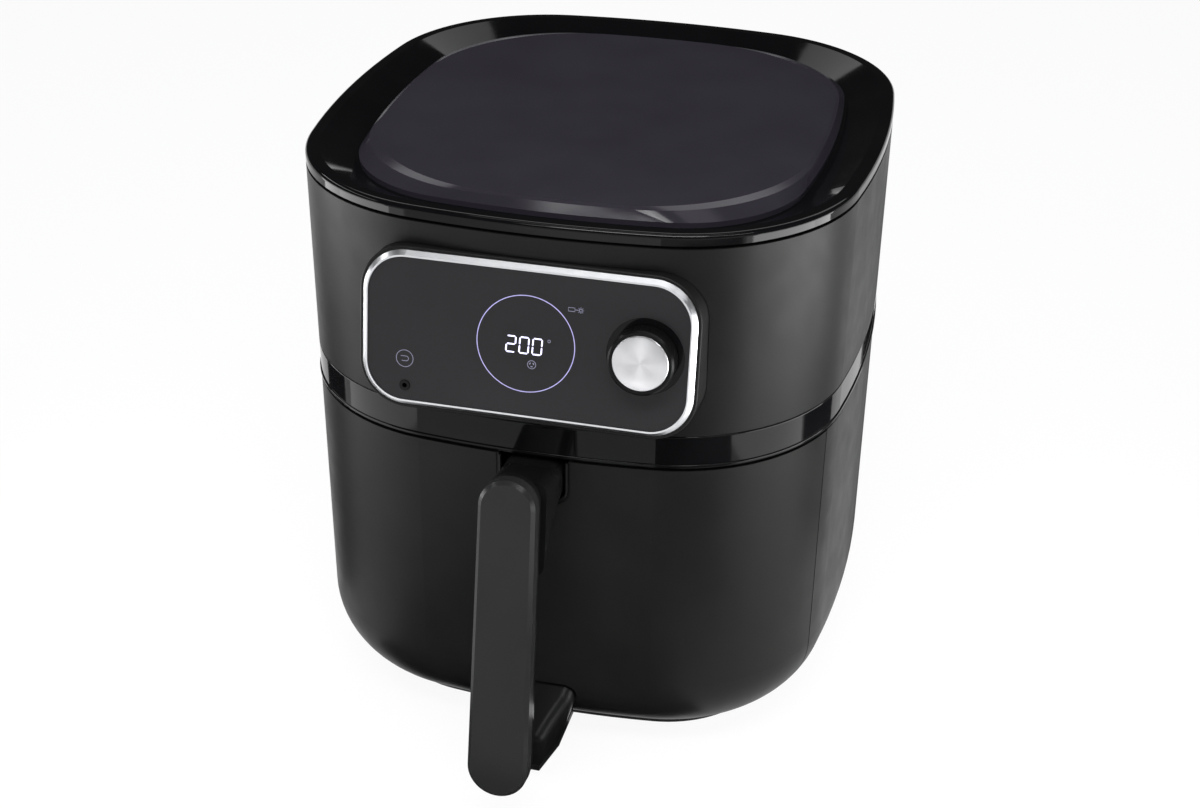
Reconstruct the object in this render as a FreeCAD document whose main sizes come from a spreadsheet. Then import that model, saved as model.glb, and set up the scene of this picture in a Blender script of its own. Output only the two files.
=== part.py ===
"""An air fryer with a pull-out drawer, a leaning control panel and a press-and-turn knob.

Frame: +Z up, front towards -Y, +X to the right seen from the front, millimetres.
The pieces are drawn about the middle of the body and moved back by half the handle's reach,
so the origin is under the middle of the whole object, on the table.
"""
import FreeCAD, Part
import Sketcher
import math
import os

SIZES = [
    # overall form
    ("body_width", 316), ("body_depth", 332), ("body_height", 333), ("front_bow", 540), ("side_bow", 580),
    ("corner_radius", 100), ("side_draft", 0.6), ("belly_radius", 47), ("wall", 3), ("fit_gap", 0.3),
    # how far a cut runs past a face or a joined piece into its neighbour, and how deep a through cut goes
    ("past", 1), ("cut_depth", 40),
    # heights of the seams above the table
    ("foot_height", 3), ("base_plate_height", 3.5), ("base_inset", 36.5), ("slide_gap", 0.5),
    ("band_drop", 135), ("band_height", 19), ("band_step", 1.6), ("band_skirt", 1.5), ("seam_round", 0.8),
    ("bead_height", 2), ("bead_proud", 0.7), ("rim_height", 6), ("shadow_gap", 2), ("rim_round", 2.4),
    ("rim_land", 5.5), ("groove_width", 22), ("groove_depth", 9), ("cover_plate", 2.5), ("pad_inset", 29),
    ("pad_bevel_width", 5), ("pad_bevel_height", 5.5), ("pad_bevel_corner", 30), ("pad_crown_height", 0.9),
    ("pad_crown_width", 2), ("pad_crown_corner", 12), ("pad_drop", 0.6),
    # control panel
    ("panel_drop", 62.8), ("panel_proud", 10.5), ("panel_lean", 8.5), ("lens_side_room", 72.6),
    ("lens_half_height", 38.8), ("lens_corner", 20), ("lens_thickness", 3), ("bezel_width", 3.3),
    ("bezel_proud", 0.6), ("bezel_slope_width", 2.4), ("bezel_slope_height", 2.2), ("pod_drop", 1.8),
    ("pod_round", 1.2), ("pod_lip", 2), ("pod_depth", 34), ("pod_flange", 4), ("window_lip", 3.5),
    ("pod_low_room", 2), ("pod_high_room", 4), ("cavity_step", 0.5), ("board_depth", 13.4),
    ("board_thickness", 1.6), ("ring_radius", 26), ("ring_wall", 1.2), ("display_width", 44),
    ("display_height", 22), ("display_corner", 2), ("display_gap", 1), ("post_radius", 3), ("post_edge", 35.4),
    # knob
    ("knob_edge", 22.5), ("knob_v", 1.4), ("knob_radius", 17.2), ("knob_ring_radius", 20.2),
    ("knob_ring_depth", 1.2), ("knob_height", 10.2), ("knob_lift", 1.8), ("knob_cap_radius", 14.7),
    ("knob_cap_thickness", 1.4), ("knob_bevel", 1), ("knob_web", 2), ("cap_edge_height", 0.2),
    ("cap_edge_width", 0.6), ("cap_crown", 0.3), ("cap_dish", 0.2), ("shaft_radius", 3),
    ("shaft_gap", 0.05), ("bush_radius", 4.2), ("encoder_width", 14), ("encoder_height", 7),
    ("encoder_corner", 1), ("press_travel", 1), ("plunger_radius", 2.2), ("plunger_length", 1.6),
    # probe socket
    ("jack_edge", 20.6), ("jack_v", -31), ("jack_bore_radius", 1.3), ("jack_ring_radius", 2.8),
    ("jack_barrel_radius", 4), ("jack_depth", 12), ("jack_proud", 0.5),
    # drawer
    ("seam_setback", 73), ("seam_gap", 0.8), ("slot_half_width", 19.5), ("slot_depth", 26.4),
    ("slot_corner", 8), ("slot_run", 60), ("slot_step_width", 1.2), ("slot_step_depth", 2.4),
    ("pan_side_room", 36), ("pan_front_room", 31), ("pan_back_room", 50), ("pan_low", 56),
    ("pan_top_room", 7.4), ("pan_corner", 34), ("pan_floor_round", 18), ("pan_wall", 1.5),
    ("pan_flange", 6), ("pan_flange_height", 2), ("basket_gap", 5), ("basket_lift", 8),
    ("basket_wall", 1.5), ("basket_drop", 2), ("mesh_thickness", 1.5), ("mesh_pitch", 20),
    ("mesh_hole", 5.5), ("mesh_inset", 24), ("mesh_corner", 10), ("mesh_border", 44),
    ("basket_floor_round", 14), ("basket_window_inset", 34), ("basket_window_corner", 8),
    ("basket_foot_inset", 25), ("basket_foot_radius", 5), ("inner_panel_thickness", 3),
    ("inner_panel_drop", 3), ("rib_x", 60), ("rib_thickness", 3), ("rib_rise", 4), ("rib_drop", 10),
    ("rib_gap", 0.31),
    # handle
    ("handle_reach", 76), ("grip_length", 185), ("grip_low", 26.3), ("grip_lean", 9.1),
    ("grip_top_radius", 15.4), ("grip_low_radius", 16.8), ("grip_front_depth", 9), ("grip_back_depth", 11),
    ("grip_bevel", 2), ("arm_half_width", 16.5), ("arm_top_room", 2.4), ("arm_rise", 5),
    ("arm_root_height", 22), ("arm_throat", 26), ("arm_edge", 7), ("arm_bend", 3), ("arm_reach", 30),
    ("arm_throat_start", 8), ("arm_heel", 2), ("grip_step", 0.5), ("grip_back_round", 6.6),
    # front foot
    ("toe_reach", 57.5), ("toe_root_half", 25.5), ("toe_tip_half", 13), ("toe_sole_half", 14),
    ("toe_sole_tip", 9), ("toe_high", 47), ("toe_tip_high", 25), ("toe_gap", 0.5), ("toe_bite", 16),
    ("toe_round", 7), ("toe_ridge", 8), ("toe_shoulder", 4), ("tongue_bite", 12),
    # feet and screws
    ("foot_radius", 9), ("foot_taper", 1), ("boss_wall", 2), ("foot_side_inset", 76),
    ("foot_end_inset", 78), ("screw_radius", 1.9), ("screw_head", 3.8), ("screw_head_height", 2),
    ("screw_side_inset", 98), ("screw_end_inset", 96), ("screw_length", 5.5),
    # liner, rails and heating chamber
    ("liner_side_gap", 11), ("liner_back_gap", 14), ("liner_low", 47), ("liner_wall", 1.8),
    ("liner_corner", 56), ("liner_front_gap", 6), ("liner_post_radius", 6), ("liner_post_inset", 88),
    ("rail_height", 8), ("rail_width", 7), ("rail_end_gap", 4), ("chamber_side_gap", 2),
    ("chamber_end_room", 40), ("chamber_rise", 53.6), ("chamber_round", 18), ("chamber_wall", 1.2),
    ("chamber_corner", 60), ("chamber_flange", 14), ("shaft_hole_radius", 8), ("heater_tube", 3.2),
    ("heater_inner", 62), ("heater_pitch", 9), ("heater_turns", 3), ("heater_lift", 9.6),
    ("heater_lead", 12),
    # motor and fans
    ("fan_shaft_radius", 4), ("motor_radius", 34), ("motor_lift", 12), ("motor_height", 30),
    ("motor_low_bevel", 4), ("motor_high_bevel", 6), ("bracket_half", 52), ("bracket_thickness", 2),
    ("bracket_corner", 10), ("bracket_leg", 8), ("bracket_leg_inset", 8), ("fan_radius", 55),
    ("fan_hub_radius", 12), ("fan_drop", 28), ("fan_height", 20), ("fan_plate", 1.5), ("fan_blades", 12),
    ("fan_blade_thickness", 1.6), ("fan_blade_lean", 9), ("fan_blade_start", 8), ("fan_blade_edge", 3),
    ("cooler_radius", 48), ("cooler_gap", 4), ("cooler_height", 14), ("cooler_blades", 10),
    ("cooler_blade_lean", 8), ("nut_radius", 8), ("nut_height", 6),
    # electrics
    ("power_board_gap", 3), ("power_board_depth", 80), ("power_board_room", 41),
    ("power_board_end", 104), ("standoff_height", 6), ("standoff_radius", 3), ("standoff_inset", 6),
    ("standoff_right", 18), ("standoff_row", 20), ("relay_inset", 6), ("relay_width", 20),
    ("relay_height", 18), ("capacitor_side", 16), ("capacitor_end", 18), ("capacitor_radius", 9),
    ("capacitor_height", 26), ("sensor_drop", 24), ("sensor_rise", 8), ("collar_height", 4),
    ("collar_wall", 3), ("sensor_radius", 2.5), ("sensor_edge", 26), ("fuse_radius", 3),
    ("fuse_length", 22), ("fuse_x", -51), ("fuse_y", -70), ("fuse_saddle", 8.8), ("fuse_foot", 2),
    ("switch_width", 20), ("switch_depth", 7), ("switch_height", 12), ("switch_gap", 2), ("switch_x", 40),
    # back
    ("grille_side_room", 96), ("grille_drop", 31), ("grille_height", 58), ("grille_corner", 10),
    ("grille_bar", 5), ("grille_slot", 6), ("grille_slot_round", 2.9), ("grille_flange", 4),
    ("grille_low_room", 4), ("grille_high_room", 6), ("grille_rim", 2), ("gland_radius", 9),
    ("gland_bore", 4), ("gland_height", 78), ("gland_side", 88), ("gland_length", 20), ("gland_lip", 3),
    ("gland_lip_height", 2), ("gland_nose", 3), ("gland_nose_radius", 6), ("gland_stand", 2.6),
    ("gland_clear", 4),
]

# places that follow from the sizes, as formulas, so that the pieces keep together when a size changes
PLACES = {
    "band_low": "{body_height} - {band_drop}",
    "band_high": "{band_low} + {band_height}",
    "lower_top": "{band_low} - {band_step}",
    "panel_height": "{body_height} - {panel_drop}",
    "lens_half_width": "{body_width} / 2 - {lens_side_room}",
    "knob_x": "{lens_half_width} - {knob_edge}",
    "jack_x": "{jack_edge} - {lens_half_width}",
    "post_x": "{lens_half_width} - {post_edge}",
    "seam_y": "{seam_setback} - {body_depth} / 2",
    "slot_low": "{lower_top} - {slot_depth}",
    "pan_half_width": "{body_width} / 2 - {pan_side_room}",
    "pan_front": "{pan_front_room} - {body_depth} / 2",
    "pan_back": "{body_depth} / 2 - {pan_back_room}",
    "pan_high": "{lower_top} - {pan_top_room}",
    "arm_high": "{lower_top} - {arm_top_room}",
    "foot_x": "{body_width} / 2 - {foot_side_inset}",
    "foot_y": "{body_depth} / 2 - {foot_end_inset}",
    "screw_x": "{body_width} / 2 - {screw_side_inset}",
    "screw_y": "{body_depth} / 2 - {screw_end_inset}",
    "liner_half_width": "{pan_half_width} + {liner_side_gap}",
    "liner_back": "{pan_back} + {liner_back_gap}",
    "liner_post_x": "{body_width} / 2 - {liner_post_inset}",
    "chamber_half_width": "{pan_half_width} + {chamber_side_gap}",
    "chamber_half_depth": "{body_depth} / 2 - {chamber_end_room}",
    "chamber_high": "{lower_top} + {chamber_rise}",
    "heater_height": "{lower_top} + {heater_lift}",
    "fan_low": "{chamber_high} - {fan_drop}",
    "motor_low": "{chamber_high} + {motor_lift}",
    "motor_high": "{motor_low} + {motor_height}",
    "cooler_low": "{motor_high} + {cooler_gap}",
    "power_board_left": "{bracket_half} + {power_board_gap}",
    "power_board_right": "{body_width} / 2 - {power_board_room}",
    "power_board_y": "{body_depth} / 2 - {power_board_end}",
    "sensor_x": "{sensor_edge} - {chamber_half_width}",
    "grille_half_width": "{body_width} / 2 - {grille_side_room}",
    "grille_high": "{body_height} - {grille_drop}",
    "grille_low": "{grille_high} - {grille_height}",
    "gland_x": "{body_width} / 2 - {gland_side}",
}

doc = FreeCAD.newDocument("air_fryer")
sheet = doc.addObject("Spreadsheet::Sheet", "Sizes")
for row, (alias, amount) in enumerate(SIZES, 1):
    sheet.set(f"A{row}", alias.replace("_", " "))
    sheet.set(f"B{row}", str(amount))
    sheet.setAlias(f"B{row}", alias)
doc.recompute()
NODES = []
# two places closer than this count as one
NEAR = 1e-3


def S(text):
    """A formula over the sheet, with every place worked out and every size name tied to its cell."""
    while any("{" + place + "}" in text for place in PLACES):
        for place, formula in PLACES.items():
            text = text.replace("{" + place + "}", f"({formula})")
    for alias, _ in SIZES:
        text = text.replace("{" + alias + "}", "Sizes." + alias)
    return text


def number(formula):
    """What a formula over the sheet comes to."""
    return float(sheet.evalExpression(formula))


# formulas that several pieces share
HALF_W = S("({body_width} / 2)")
HALF_D = S("({body_depth} / 2)")
TOP = S("{body_height}")
BASE_TOP = S("({foot_height} + {base_plate_height})")
BELLY_LOW = S(f"({BASE_TOP} + {{slide_gap}})")
LOWER_TOP = S("{lower_top}")
DRAWER_TOP = S(f"({LOWER_TOP} - {{slide_gap}})")
RIM_LOW = S("({body_height} - {rim_height})")
UPPER_TOP = S(f"({RIM_LOW} - {{shadow_gap}})")
COVER_FLOOR = S("({body_height} - {groove_depth})")
SHIFT = S("({handle_reach} / 2)")
PANEL_Y = S(f"(-{HALF_D} - {{panel_proud}})")
BEZEL_W = S("({lens_half_width} + {bezel_width})")
BEZEL_H = S("({lens_half_height} + {bezel_width})")
POD_W = S(f"({BEZEL_W} + {{pod_lip}})")
POD_H = S(f"({BEZEL_H} + {{pod_lip}})")
BOARD = S("(-{board_depth})")
GRIP_Y = S(f"(-{HALF_D} - {{handle_reach}} + ({{grip_length}} / 2 - {{grip_bevel}}) * sin({{grip_lean}}))")
GRIP_Z = S("({grip_low} + {grip_length} / 2 * cos({grip_lean}))")
CHAMBER_LOW = LOWER_TOP
HEATER_END = S("(-({heater_inner} + {heater_pitch} * {heater_turns}))")
TOE_TIP = S(f"(-({HALF_D} - {{base_inset}}) - {{toe_reach}})")
TOE_REAR = S(f"(-{HALF_D} + {{toe_bite}})")
BASKET_LOW = S("({pan_low} + {pan_wall} + {basket_lift})")


def inset_at(height):
    """How far the drafted side has come in at a height, as a formula."""
    return S(f"(({{body_height}} - ({height})) * tan({{side_draft}}))")


def new_body(name):
    return doc.addObject("PartDesign::Body", name)


def new_sketch(body, name, plane="XY_Plane", height="0"):
    """A sketch on one of the body's own origin planes, moved along the plane's normal."""
    sketch = body.newObject("Sketcher::SketchObject", name)
    support = next(feature for feature in body.Origin.OriginFeatures if feature.Role == plane)
    sketch.AttachmentSupport = (support, "")
    sketch.MapMode = "FlatFace"
    sketch.setExpression("AttachmentOffset.Base.z", S(height))
    return sketch


def bind(sketch, kind, place, formula):
    """One dimension of a sketch, tied to a formula."""
    index = sketch.addConstraint(Sketcher.Constraint(kind, *place, number(formula)))
    sketch.setExpression(f"Constraints[{index}]", formula)


def hold(sketch, geometry, point, x, y):
    """Hold a point of the sketch at two formulas."""
    bind(sketch, "DistanceX", (geometry, point), S(x))
    bind(sketch, "DistanceY", (geometry, point), S(y))


def polygon(sketch, corners):
    """A closed outline of straight lines through corners given as formulas."""
    points = [FreeCAD.Vector(number(S(x)), number(S(y)), 0) for x, y in corners]
    count = len(points)
    lines = [sketch.addGeometry(Part.LineSegment(points[i], points[(i + 1) % count])) for i in range(count)]
    for i, line in enumerate(lines):
        sketch.addConstraint(Sketcher.Constraint("Coincident", line, 2, lines[(i + 1) % count], 1))
    for line, (x, y) in zip(lines, corners):
        hold(sketch, line, 1, x, y)


def circle(sketch, x, y, radius):
    middle = FreeCAD.Vector(number(S(x)), number(S(y)), 0)
    ring = sketch.addGeometry(Part.Circle(middle, FreeCAD.Vector(0, 0, 1), number(S(radius))))
    hold(sketch, ring, 3, x, y)
    bind(sketch, "Radius", (ring,), S(radius))


def arc_through(middle, radius, start, end):
    """The shorter arc about a middle that runs anticlockwise from start towards end."""
    first = math.atan2(start.y - middle.y, start.x - middle.x)
    last = math.atan2(end.y - middle.y, end.x - middle.x)
    if last < first:
        last += 2 * math.pi
    return Part.ArcOfCircle(Part.Circle(middle, FreeCAD.Vector(0, 0, 1), radius), first, last)


def tangent_ring(sketch, pieces):
    """Join the pieces of a closed outline end to start, smoothly."""
    for i, piece in enumerate(pieces):
        sketch.addConstraint(Sketcher.Constraint("Tangent", piece, 2, pieces[(i + 1) % len(pieces)], 1))


def squircle(sketch, inset, corner_extra="0"):
    """The body's plan: four bowed sides joined by four corner arcs, brought in evenly by an inset.

    The corners may be made fuller than the body's by an extra radius.
    """
    inset = S(inset)
    half_w = number(f"{HALF_W} - ({inset})")
    half_d = number(f"{HALF_D} - ({inset})")
    bow_f = number(S(f"{{front_bow}} - ({inset})"))
    bow_s = number(S(f"{{side_bow}} - ({inset})"))
    bend = S(f"({{corner_radius}} + ({corner_extra}))")
    corner = number(f"{bend} - ({inset})")
    front_y = bow_f - half_d
    side_x = bow_s - half_w
    reach = math.hypot(side_x, front_y)
    along = ((bow_f - corner) ** 2 - (bow_s - corner) ** 2 + reach ** 2) / (2 * reach)
    across = math.sqrt((bow_f - corner) ** 2 - along ** 2)
    ux, uy = -side_x / reach, front_y / reach
    corner_x = along * ux + across * uy
    corner_y = -front_y + along * uy - across * ux
    front_mid = FreeCAD.Vector(0, front_y, 0)
    side_mid = FreeCAD.Vector(-side_x, 0, 0)
    corner_mid = FreeCAD.Vector(corner_x, -corner_y, 0)
    on_front = corner_mid + (corner_mid - front_mid).normalize() * corner
    on_side = corner_mid + (corner_mid - side_mid).normalize() * corner

    def mirrored(point, x, y):
        return FreeCAD.Vector(point.x * x, point.y * y, 0)

    arcs = []
    plan = [(front_mid, bow_f, (on_front, -1, 1), (on_front, 1, 1), "front"),
            (corner_mid, corner, (on_front, 1, 1), (on_side, 1, 1), "corner"),
            (side_mid, bow_s, (on_side, 1, 1), (on_side, 1, -1), "side"),
            (mirrored(corner_mid, 1, -1), corner, (on_side, 1, -1), (on_front, 1, -1), "corner"),
            (mirrored(front_mid, 1, -1), bow_f, (on_front, 1, -1), (on_front, -1, -1), "back"),
            (mirrored(corner_mid, -1, -1), corner, (on_front, -1, -1), (on_side, -1, -1), "corner"),
            (mirrored(side_mid, -1, 1), bow_s, (on_side, -1, -1), (on_side, -1, 1), "far side"),
            (mirrored(corner_mid, -1, 1), corner, (on_side, -1, 1), (on_front, -1, 1), "corner")]
    for middle, radius, start, end, _ in plan:
        arcs.append(sketch.addGeometry(arc_through(middle, radius, mirrored(*start), mirrored(*end))))
    tangent_ring(sketch, arcs)
    front_formula = S(f"{{front_bow}} - {HALF_D}")
    side_formula = S(f"{{side_bow}} - {HALF_W}")
    for arc, (_, _, _, _, kind) in zip(arcs, plan):
        bow = {"corner": bend, "front": "{front_bow}", "back": "{front_bow}"}.get(kind, "{side_bow}")
        bind(sketch, "Radius", (arc,), S(f"{bow} - ({inset})"))
        if kind == "front":
            hold(sketch, arc, 3, "0", front_formula)
        elif kind == "back":
            hold(sketch, arc, 3, "0", f"-({front_formula})")
        elif kind == "side":
            hold(sketch, arc, 3, f"-({side_formula})", "0")
        elif kind == "far side":
            hold(sketch, arc, 3, side_formula, "0")


def round_rect(sketch, left, right, low, high, radius):
    """A rectangle with rounded corners, its sides and radius given as formulas."""
    x0, x1, y0, y1, r = (number(S(value)) for value in (left, right, low, high, radius))
    V = FreeCAD.Vector
    line = lambda a, b: sketch.addGeometry(Part.LineSegment(a, b))
    bend = lambda x, y, a, b: sketch.addGeometry(arc_through(V(x, y, 0), r, a, b))
    outline = [line(V(x0 + r, y0, 0), V(x1 - r, y0, 0)),
               bend(x1 - r, y0 + r, V(x1 - r, y0, 0), V(x1, y0 + r, 0)),
               line(V(x1, y0 + r, 0), V(x1, y1 - r, 0)),
               bend(x1 - r, y1 - r, V(x1, y1 - r, 0), V(x1 - r, y1, 0)),
               line(V(x1 - r, y1, 0), V(x0 + r, y1, 0)),
               bend(x0 + r, y1 - r, V(x0 + r, y1, 0), V(x0, y1 - r, 0)),
               line(V(x0, y1 - r, 0), V(x0, y0 + r, 0)),
               bend(x0 + r, y0 + r, V(x0, y0 + r, 0), V(x0 + r, y0, 0))]
    tangent_ring(sketch, outline)
    for index, kind in ((0, "Horizontal"), (2, "Vertical"), (4, "Horizontal"), (6, "Vertical")):
        sketch.addConstraint(Sketcher.Constraint(kind, outline[index]))
    for index in (1, 3, 5, 7):
        bind(sketch, "Radius", (outline[index],), S(radius))
    bind(sketch, "DistanceY", (outline[0], 1), S(low))
    bind(sketch, "DistanceX", (outline[2], 1), S(right))
    bind(sketch, "DistanceY", (outline[4], 1), S(high))
    bind(sketch, "DistanceX", (outline[6], 1), S(left))


def taper_slot(sketch, length, top_radius, low_radius):
    """Two round ends of unequal radius joined by their tangents, middle of its length at the origin."""
    half, r1, r2 = number(S(length)) / 2, number(S(top_radius)), number(S(low_radius))
    V = FreeCAD.Vector
    top, low = V(0, half - r1, 0), V(0, r2 - half, 0)
    tilt = math.asin((r2 - r1) / (top.y - low.y))
    side = V(math.cos(tilt), math.sin(tilt), 0)
    flip = V(-side.x, side.y, 0)
    outline = [sketch.addGeometry(arc_through(top, r1, top + side * r1, top + flip * r1)),
               sketch.addGeometry(Part.LineSegment(top + flip * r1, low + flip * r2)),
               sketch.addGeometry(arc_through(low, r2, low + flip * r2, low + side * r2)),
               sketch.addGeometry(Part.LineSegment(low + side * r2, top + side * r1))]
    tangent_ring(sketch, outline)
    bind(sketch, "Radius", (outline[0],), S(top_radius))
    bind(sketch, "Radius", (outline[2],), S(low_radius))
    hold(sketch, outline[0], 3, "0", f"({length}) / 2 - ({top_radius})")
    hold(sketch, outline[2], 3, "0", f"({low_radius}) - ({length}) / 2")


def pad(body, sketch, length, back=False, cut=False):
    """Pad a sketch, or pocket with it, by a length formula along its plane's normal or back from it."""
    feature = body.newObject("PartDesign::Pocket" if cut else "PartDesign::Pad", sketch.Name + "_depth")
    feature.Profile = sketch
    feature.Reversed = back != cut
    feature.setExpression("Length", S(length))
    return feature


def loft(body, levels):
    """A straight-sided loft of the body's plan through levels: height, inset, any extra corner radius."""
    sketches = []
    for height, *form in levels:
        sketch = new_sketch(body, body.Name + "_plan", "XY_Plane", height)
        squircle(sketch, *form)
        sketches.append(sketch)
    return join(body, sketches)


def join(body, sketches):
    """A straight-sided loft through sketches."""
    feature = body.newObject("PartDesign::AdditiveLoft", body.Name + "_loft")
    feature.Profile = sketches[0]
    feature.Sections = sketches[1:]
    feature.Ruled = True
    return feature


def round_edges(body, radius, chosen):
    """Fillet the edges of the body that a test on the edge picks out."""
    doc.recompute()
    base = body.Tip
    names = [f"Edge{i}" for i, edge in enumerate(base.Shape.Edges, 1) if chosen(edge)]
    feature = body.newObject("PartDesign::Fillet", body.Name + "_round")
    feature.Base = (base, names)
    feature.setExpression("Radius", S(radius))
    return feature


def bevel_edges(body, size, chosen):
    """Chamfer the edges of the body that a test on the edge picks out."""
    doc.recompute()
    base = body.Tip
    names = [f"Edge{i}" for i, edge in enumerate(base.Shape.Edges, 1) if chosen(edge)]
    feature = body.newObject("PartDesign::Chamfer", body.Name + "_bevel")
    feature.Base = (base, names)
    feature.setExpression("Size", S(size))
    return feature


def level(height):
    """A test for edges that lie wholly at one height."""
    place = number(S(height))
    return lambda edge: abs(edge.BoundBox.ZMin - place) < NEAR and abs(edge.BoundBox.ZMax - place) < NEAR


def loft_body(name, levels):
    """A body that is one loft of the plan."""
    body = new_body(name)
    loft(body, levels)
    return body


def drafted(name, low, high, extra="0", round_low=None):
    """A solid that fills the drafted form between two heights, brought in by an extra inset."""
    body = new_body(name)
    sketch = new_sketch(body, name + "_plan", "XY_Plane", high)
    squircle(sketch, f"{inset_at(high)} + ({extra})")
    slab = pad(body, sketch, f"({high}) - ({low})", back=True)
    doc.recompute()
    faces = list(enumerate(slab.Shape.Faces, 1))
    feature = body.newObject("PartDesign::Draft", name + "_draft")
    feature.Base = (slab, [f"Face{i}" for i, face in faces if not isinstance(face.Surface, Part.Plane)])
    feature.NeutralPlane = (slab, [f"Face{i}" for i, face in faces if level(high)(face)])
    feature.Reversed = True
    feature.setExpression("Angle", S("{side_draft}"))
    if round_low:
        round_edges(body, round_low, level(low))
    return body


def block(name, left, right, front, back, low, high):
    """A plain cutting block between six formulas."""
    box = doc.addObject("Part::Box", name)
    for side, first, last in (("Length", left, right), ("Width", front, back), ("Height", low, high)):
        box.setExpression(side, S(f"({last}) - ({first})"))
    for axis, value in zip("xyz", (left, front, low)):
        box.setExpression(f"Placement.Base.{axis}", S(value))
    return box


def cylinder(name, x, y, low, high, radius):
    """A round bar along Z between two heights."""
    bar = doc.addObject("Part::Cylinder", name)
    bar.setExpression("Radius", S(radius))
    bar.setExpression("Height", S(f"({high}) - ({low})"))
    for axis, value in zip("xyz", (x, y, low)):
        bar.setExpression(f"Placement.Base.{axis}", S(value))
    return bar


def cut(base, tool):
    result = doc.addObject("Part::Cut", base.Name + "_cut")
    result.Base = base
    result.Tool = tool
    return result


def common(base, tool):
    result = doc.addObject("Part::Common", base.Name + "_common")
    result.Base = base
    result.Tool = tool
    return result


def fuse(*pieces):
    result = doc.addObject("Part::MultiFuse", pieces[0].Name + "_fuse")
    result.Shapes = list(pieces)
    return result


def group(*pieces):
    """Several separate solids of one kind, kept in one node."""
    result = doc.addObject("Part::Compound", pieces[0].Name + "_group")
    result.Links = list(pieces)
    return result


def node(piece, name):
    """Name a finished piece and move it back so that the origin is under the whole object."""
    piece.Label = name
    piece.setExpression("Placement.Base.y", SHIFT)
    NODES.append(piece)
    return piece


def on_panel(piece, shift=True):
    """Set a piece drawn flat, face up, onto the leaning control panel."""
    back = SHIFT if shift else "0"
    place = S(f"vector(0; {PANEL_Y} + {back}; {{panel_height}})")
    piece.setExpression("Placement", S(f"placement({place}; rotation(vector(1; 0; 0); 90 - {{panel_lean}}))"))
    return piece


def panel_node(piece, name):
    piece.Label = name
    NODES.append(on_panel(piece))
    return piece


def on_grip(piece, shift=True):
    """Set a piece drawn flat, face up, onto the leaning front of the grip."""
    back = SHIFT if shift else "0"
    place = S(f"vector(0; {GRIP_Y} + {back}; {GRIP_Z})")
    piece.setExpression("Placement", S(f"placement({place}; rotation(vector(1; 0; 0); 90 - {{grip_lean}}))"))
    return piece


def grip_node(piece, name):
    piece.Label = name
    NODES.append(on_grip(piece))
    return piece


def plate_body(name, draw, low, high):
    """A body padded between two heights from an outline that a function draws."""
    body = new_body(name)
    sketch = new_sketch(body, name + "_outline", "XY_Plane", low)
    draw(sketch)
    pad(body, sketch, f"({high}) - ({low})")
    return body


def pocket(body, draw, low, high):
    """Cut an outline out of a body between two heights."""
    sketch = new_sketch(body, body.Name + "_pocket", "XY_Plane", low)
    draw(sketch)
    pad(body, sketch, f"({high}) - ({low})", cut=True)


def revolve(name, profile):
    """A body turned about Z from an outline of (radius, height) formulas."""
    body = new_body(name)
    sketch = new_sketch(body, name + "_profile", "XZ_Plane")
    polygon(sketch, profile)
    turn = body.newObject("PartDesign::Revolution", name + "_turn")
    turn.Profile = sketch
    turn.ReferenceAxis = (sketch, ["V_Axis"])
    turn.Angle = 360
    return body


def pattern(body, feature, count):
    """Repeat a feature of a body round Z."""
    ring = body.newObject("PartDesign::PolarPattern", body.Name + "_ring")
    ring.Originals = [feature]
    ring.Axis = (next(f for f in body.Origin.OriginFeatures if f.Role == "Z_Axis"), [""])
    ring.Angle = 360
    ring.setExpression("Occurrences", S(count))
    body.Tip = ring
    return ring


def make_top_cover():
    """Glossy rim, sloping groove and the floor that the top pad stands on."""
    rim = plate_body("rim_slab", lambda sketch: squircle(sketch, "0"), RIM_LOW, TOP)
    round_edges(rim, "{rim_round}", level(TOP))
    seat_top = f"{RIM_LOW} + {{rim_height}} / 2"
    seat = loft_body("rim_seat", [(UPPER_TOP, "{shadow_gap}"), (seat_top, "{shadow_gap}")])
    floor_inset = "{rim_land} + {groove_width}"
    bowl = loft_body("cover_bowl", [(f"{COVER_FLOOR} - {{cover_plate}}", f"{floor_inset} + {{cover_plate}}"),
                                    (UPPER_TOP, "{wall} + {shadow_gap}")])
    dish = loft_body("cover_dish", [(COVER_FLOOR, floor_inset), (f"{TOP} + {{past}}", "{rim_land}")])
    node(cut(fuse(rim, seat, bowl), dish), "top_cover")


def make_top_pad():
    """Raised pad with a bevelled edge, standing in the groove's floor."""
    high = S("({body_height} - {pad_drop})")
    edge = S(f"({high} - {{pad_bevel_height}})")
    body = plate_body("pad_plate", lambda sketch: squircle(sketch, "{pad_inset}"), COVER_FLOOR, edge)
    crown = ("{pad_inset} + {pad_bevel_width} - {pad_crown_width}", "{pad_bevel_corner} - {pad_crown_corner}")
    loft(body, [(edge, "{pad_inset}"), (f"{high} - {{pad_crown_height}}", *crown),
                (high, "{pad_inset} + {pad_bevel_width}", "{pad_bevel_corner}")])
    hollow = ("{pad_inset} + {pad_bevel_width} + {wall}", "{pad_bevel_corner}")
    pocket(body, lambda sketch: squircle(sketch, *hollow), COVER_FLOOR, f"{high} - {{wall}}")
    node(body, "top_pad")


def pod_outline(grow):
    corner = f"{{lens_corner}} + {{bezel_width}} + {{pod_lip}} + {grow}"
    return lambda sketch: round_rect(sketch, f"-({POD_W} + {grow})", f"{POD_W} + {grow}",
                                     f"-({POD_H} + {grow})", f"{POD_H} + {grow}", corner)


def grille_outline(grow):
    side = f"({{grille_half_width}} + {grow})"
    return lambda sketch: round_rect(sketch, f"-{side}", side, f"{{grille_low}} - {grow}",
                                     f"{{grille_high}} + {grow}", f"{{grille_corner}} + {grow}")


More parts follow.
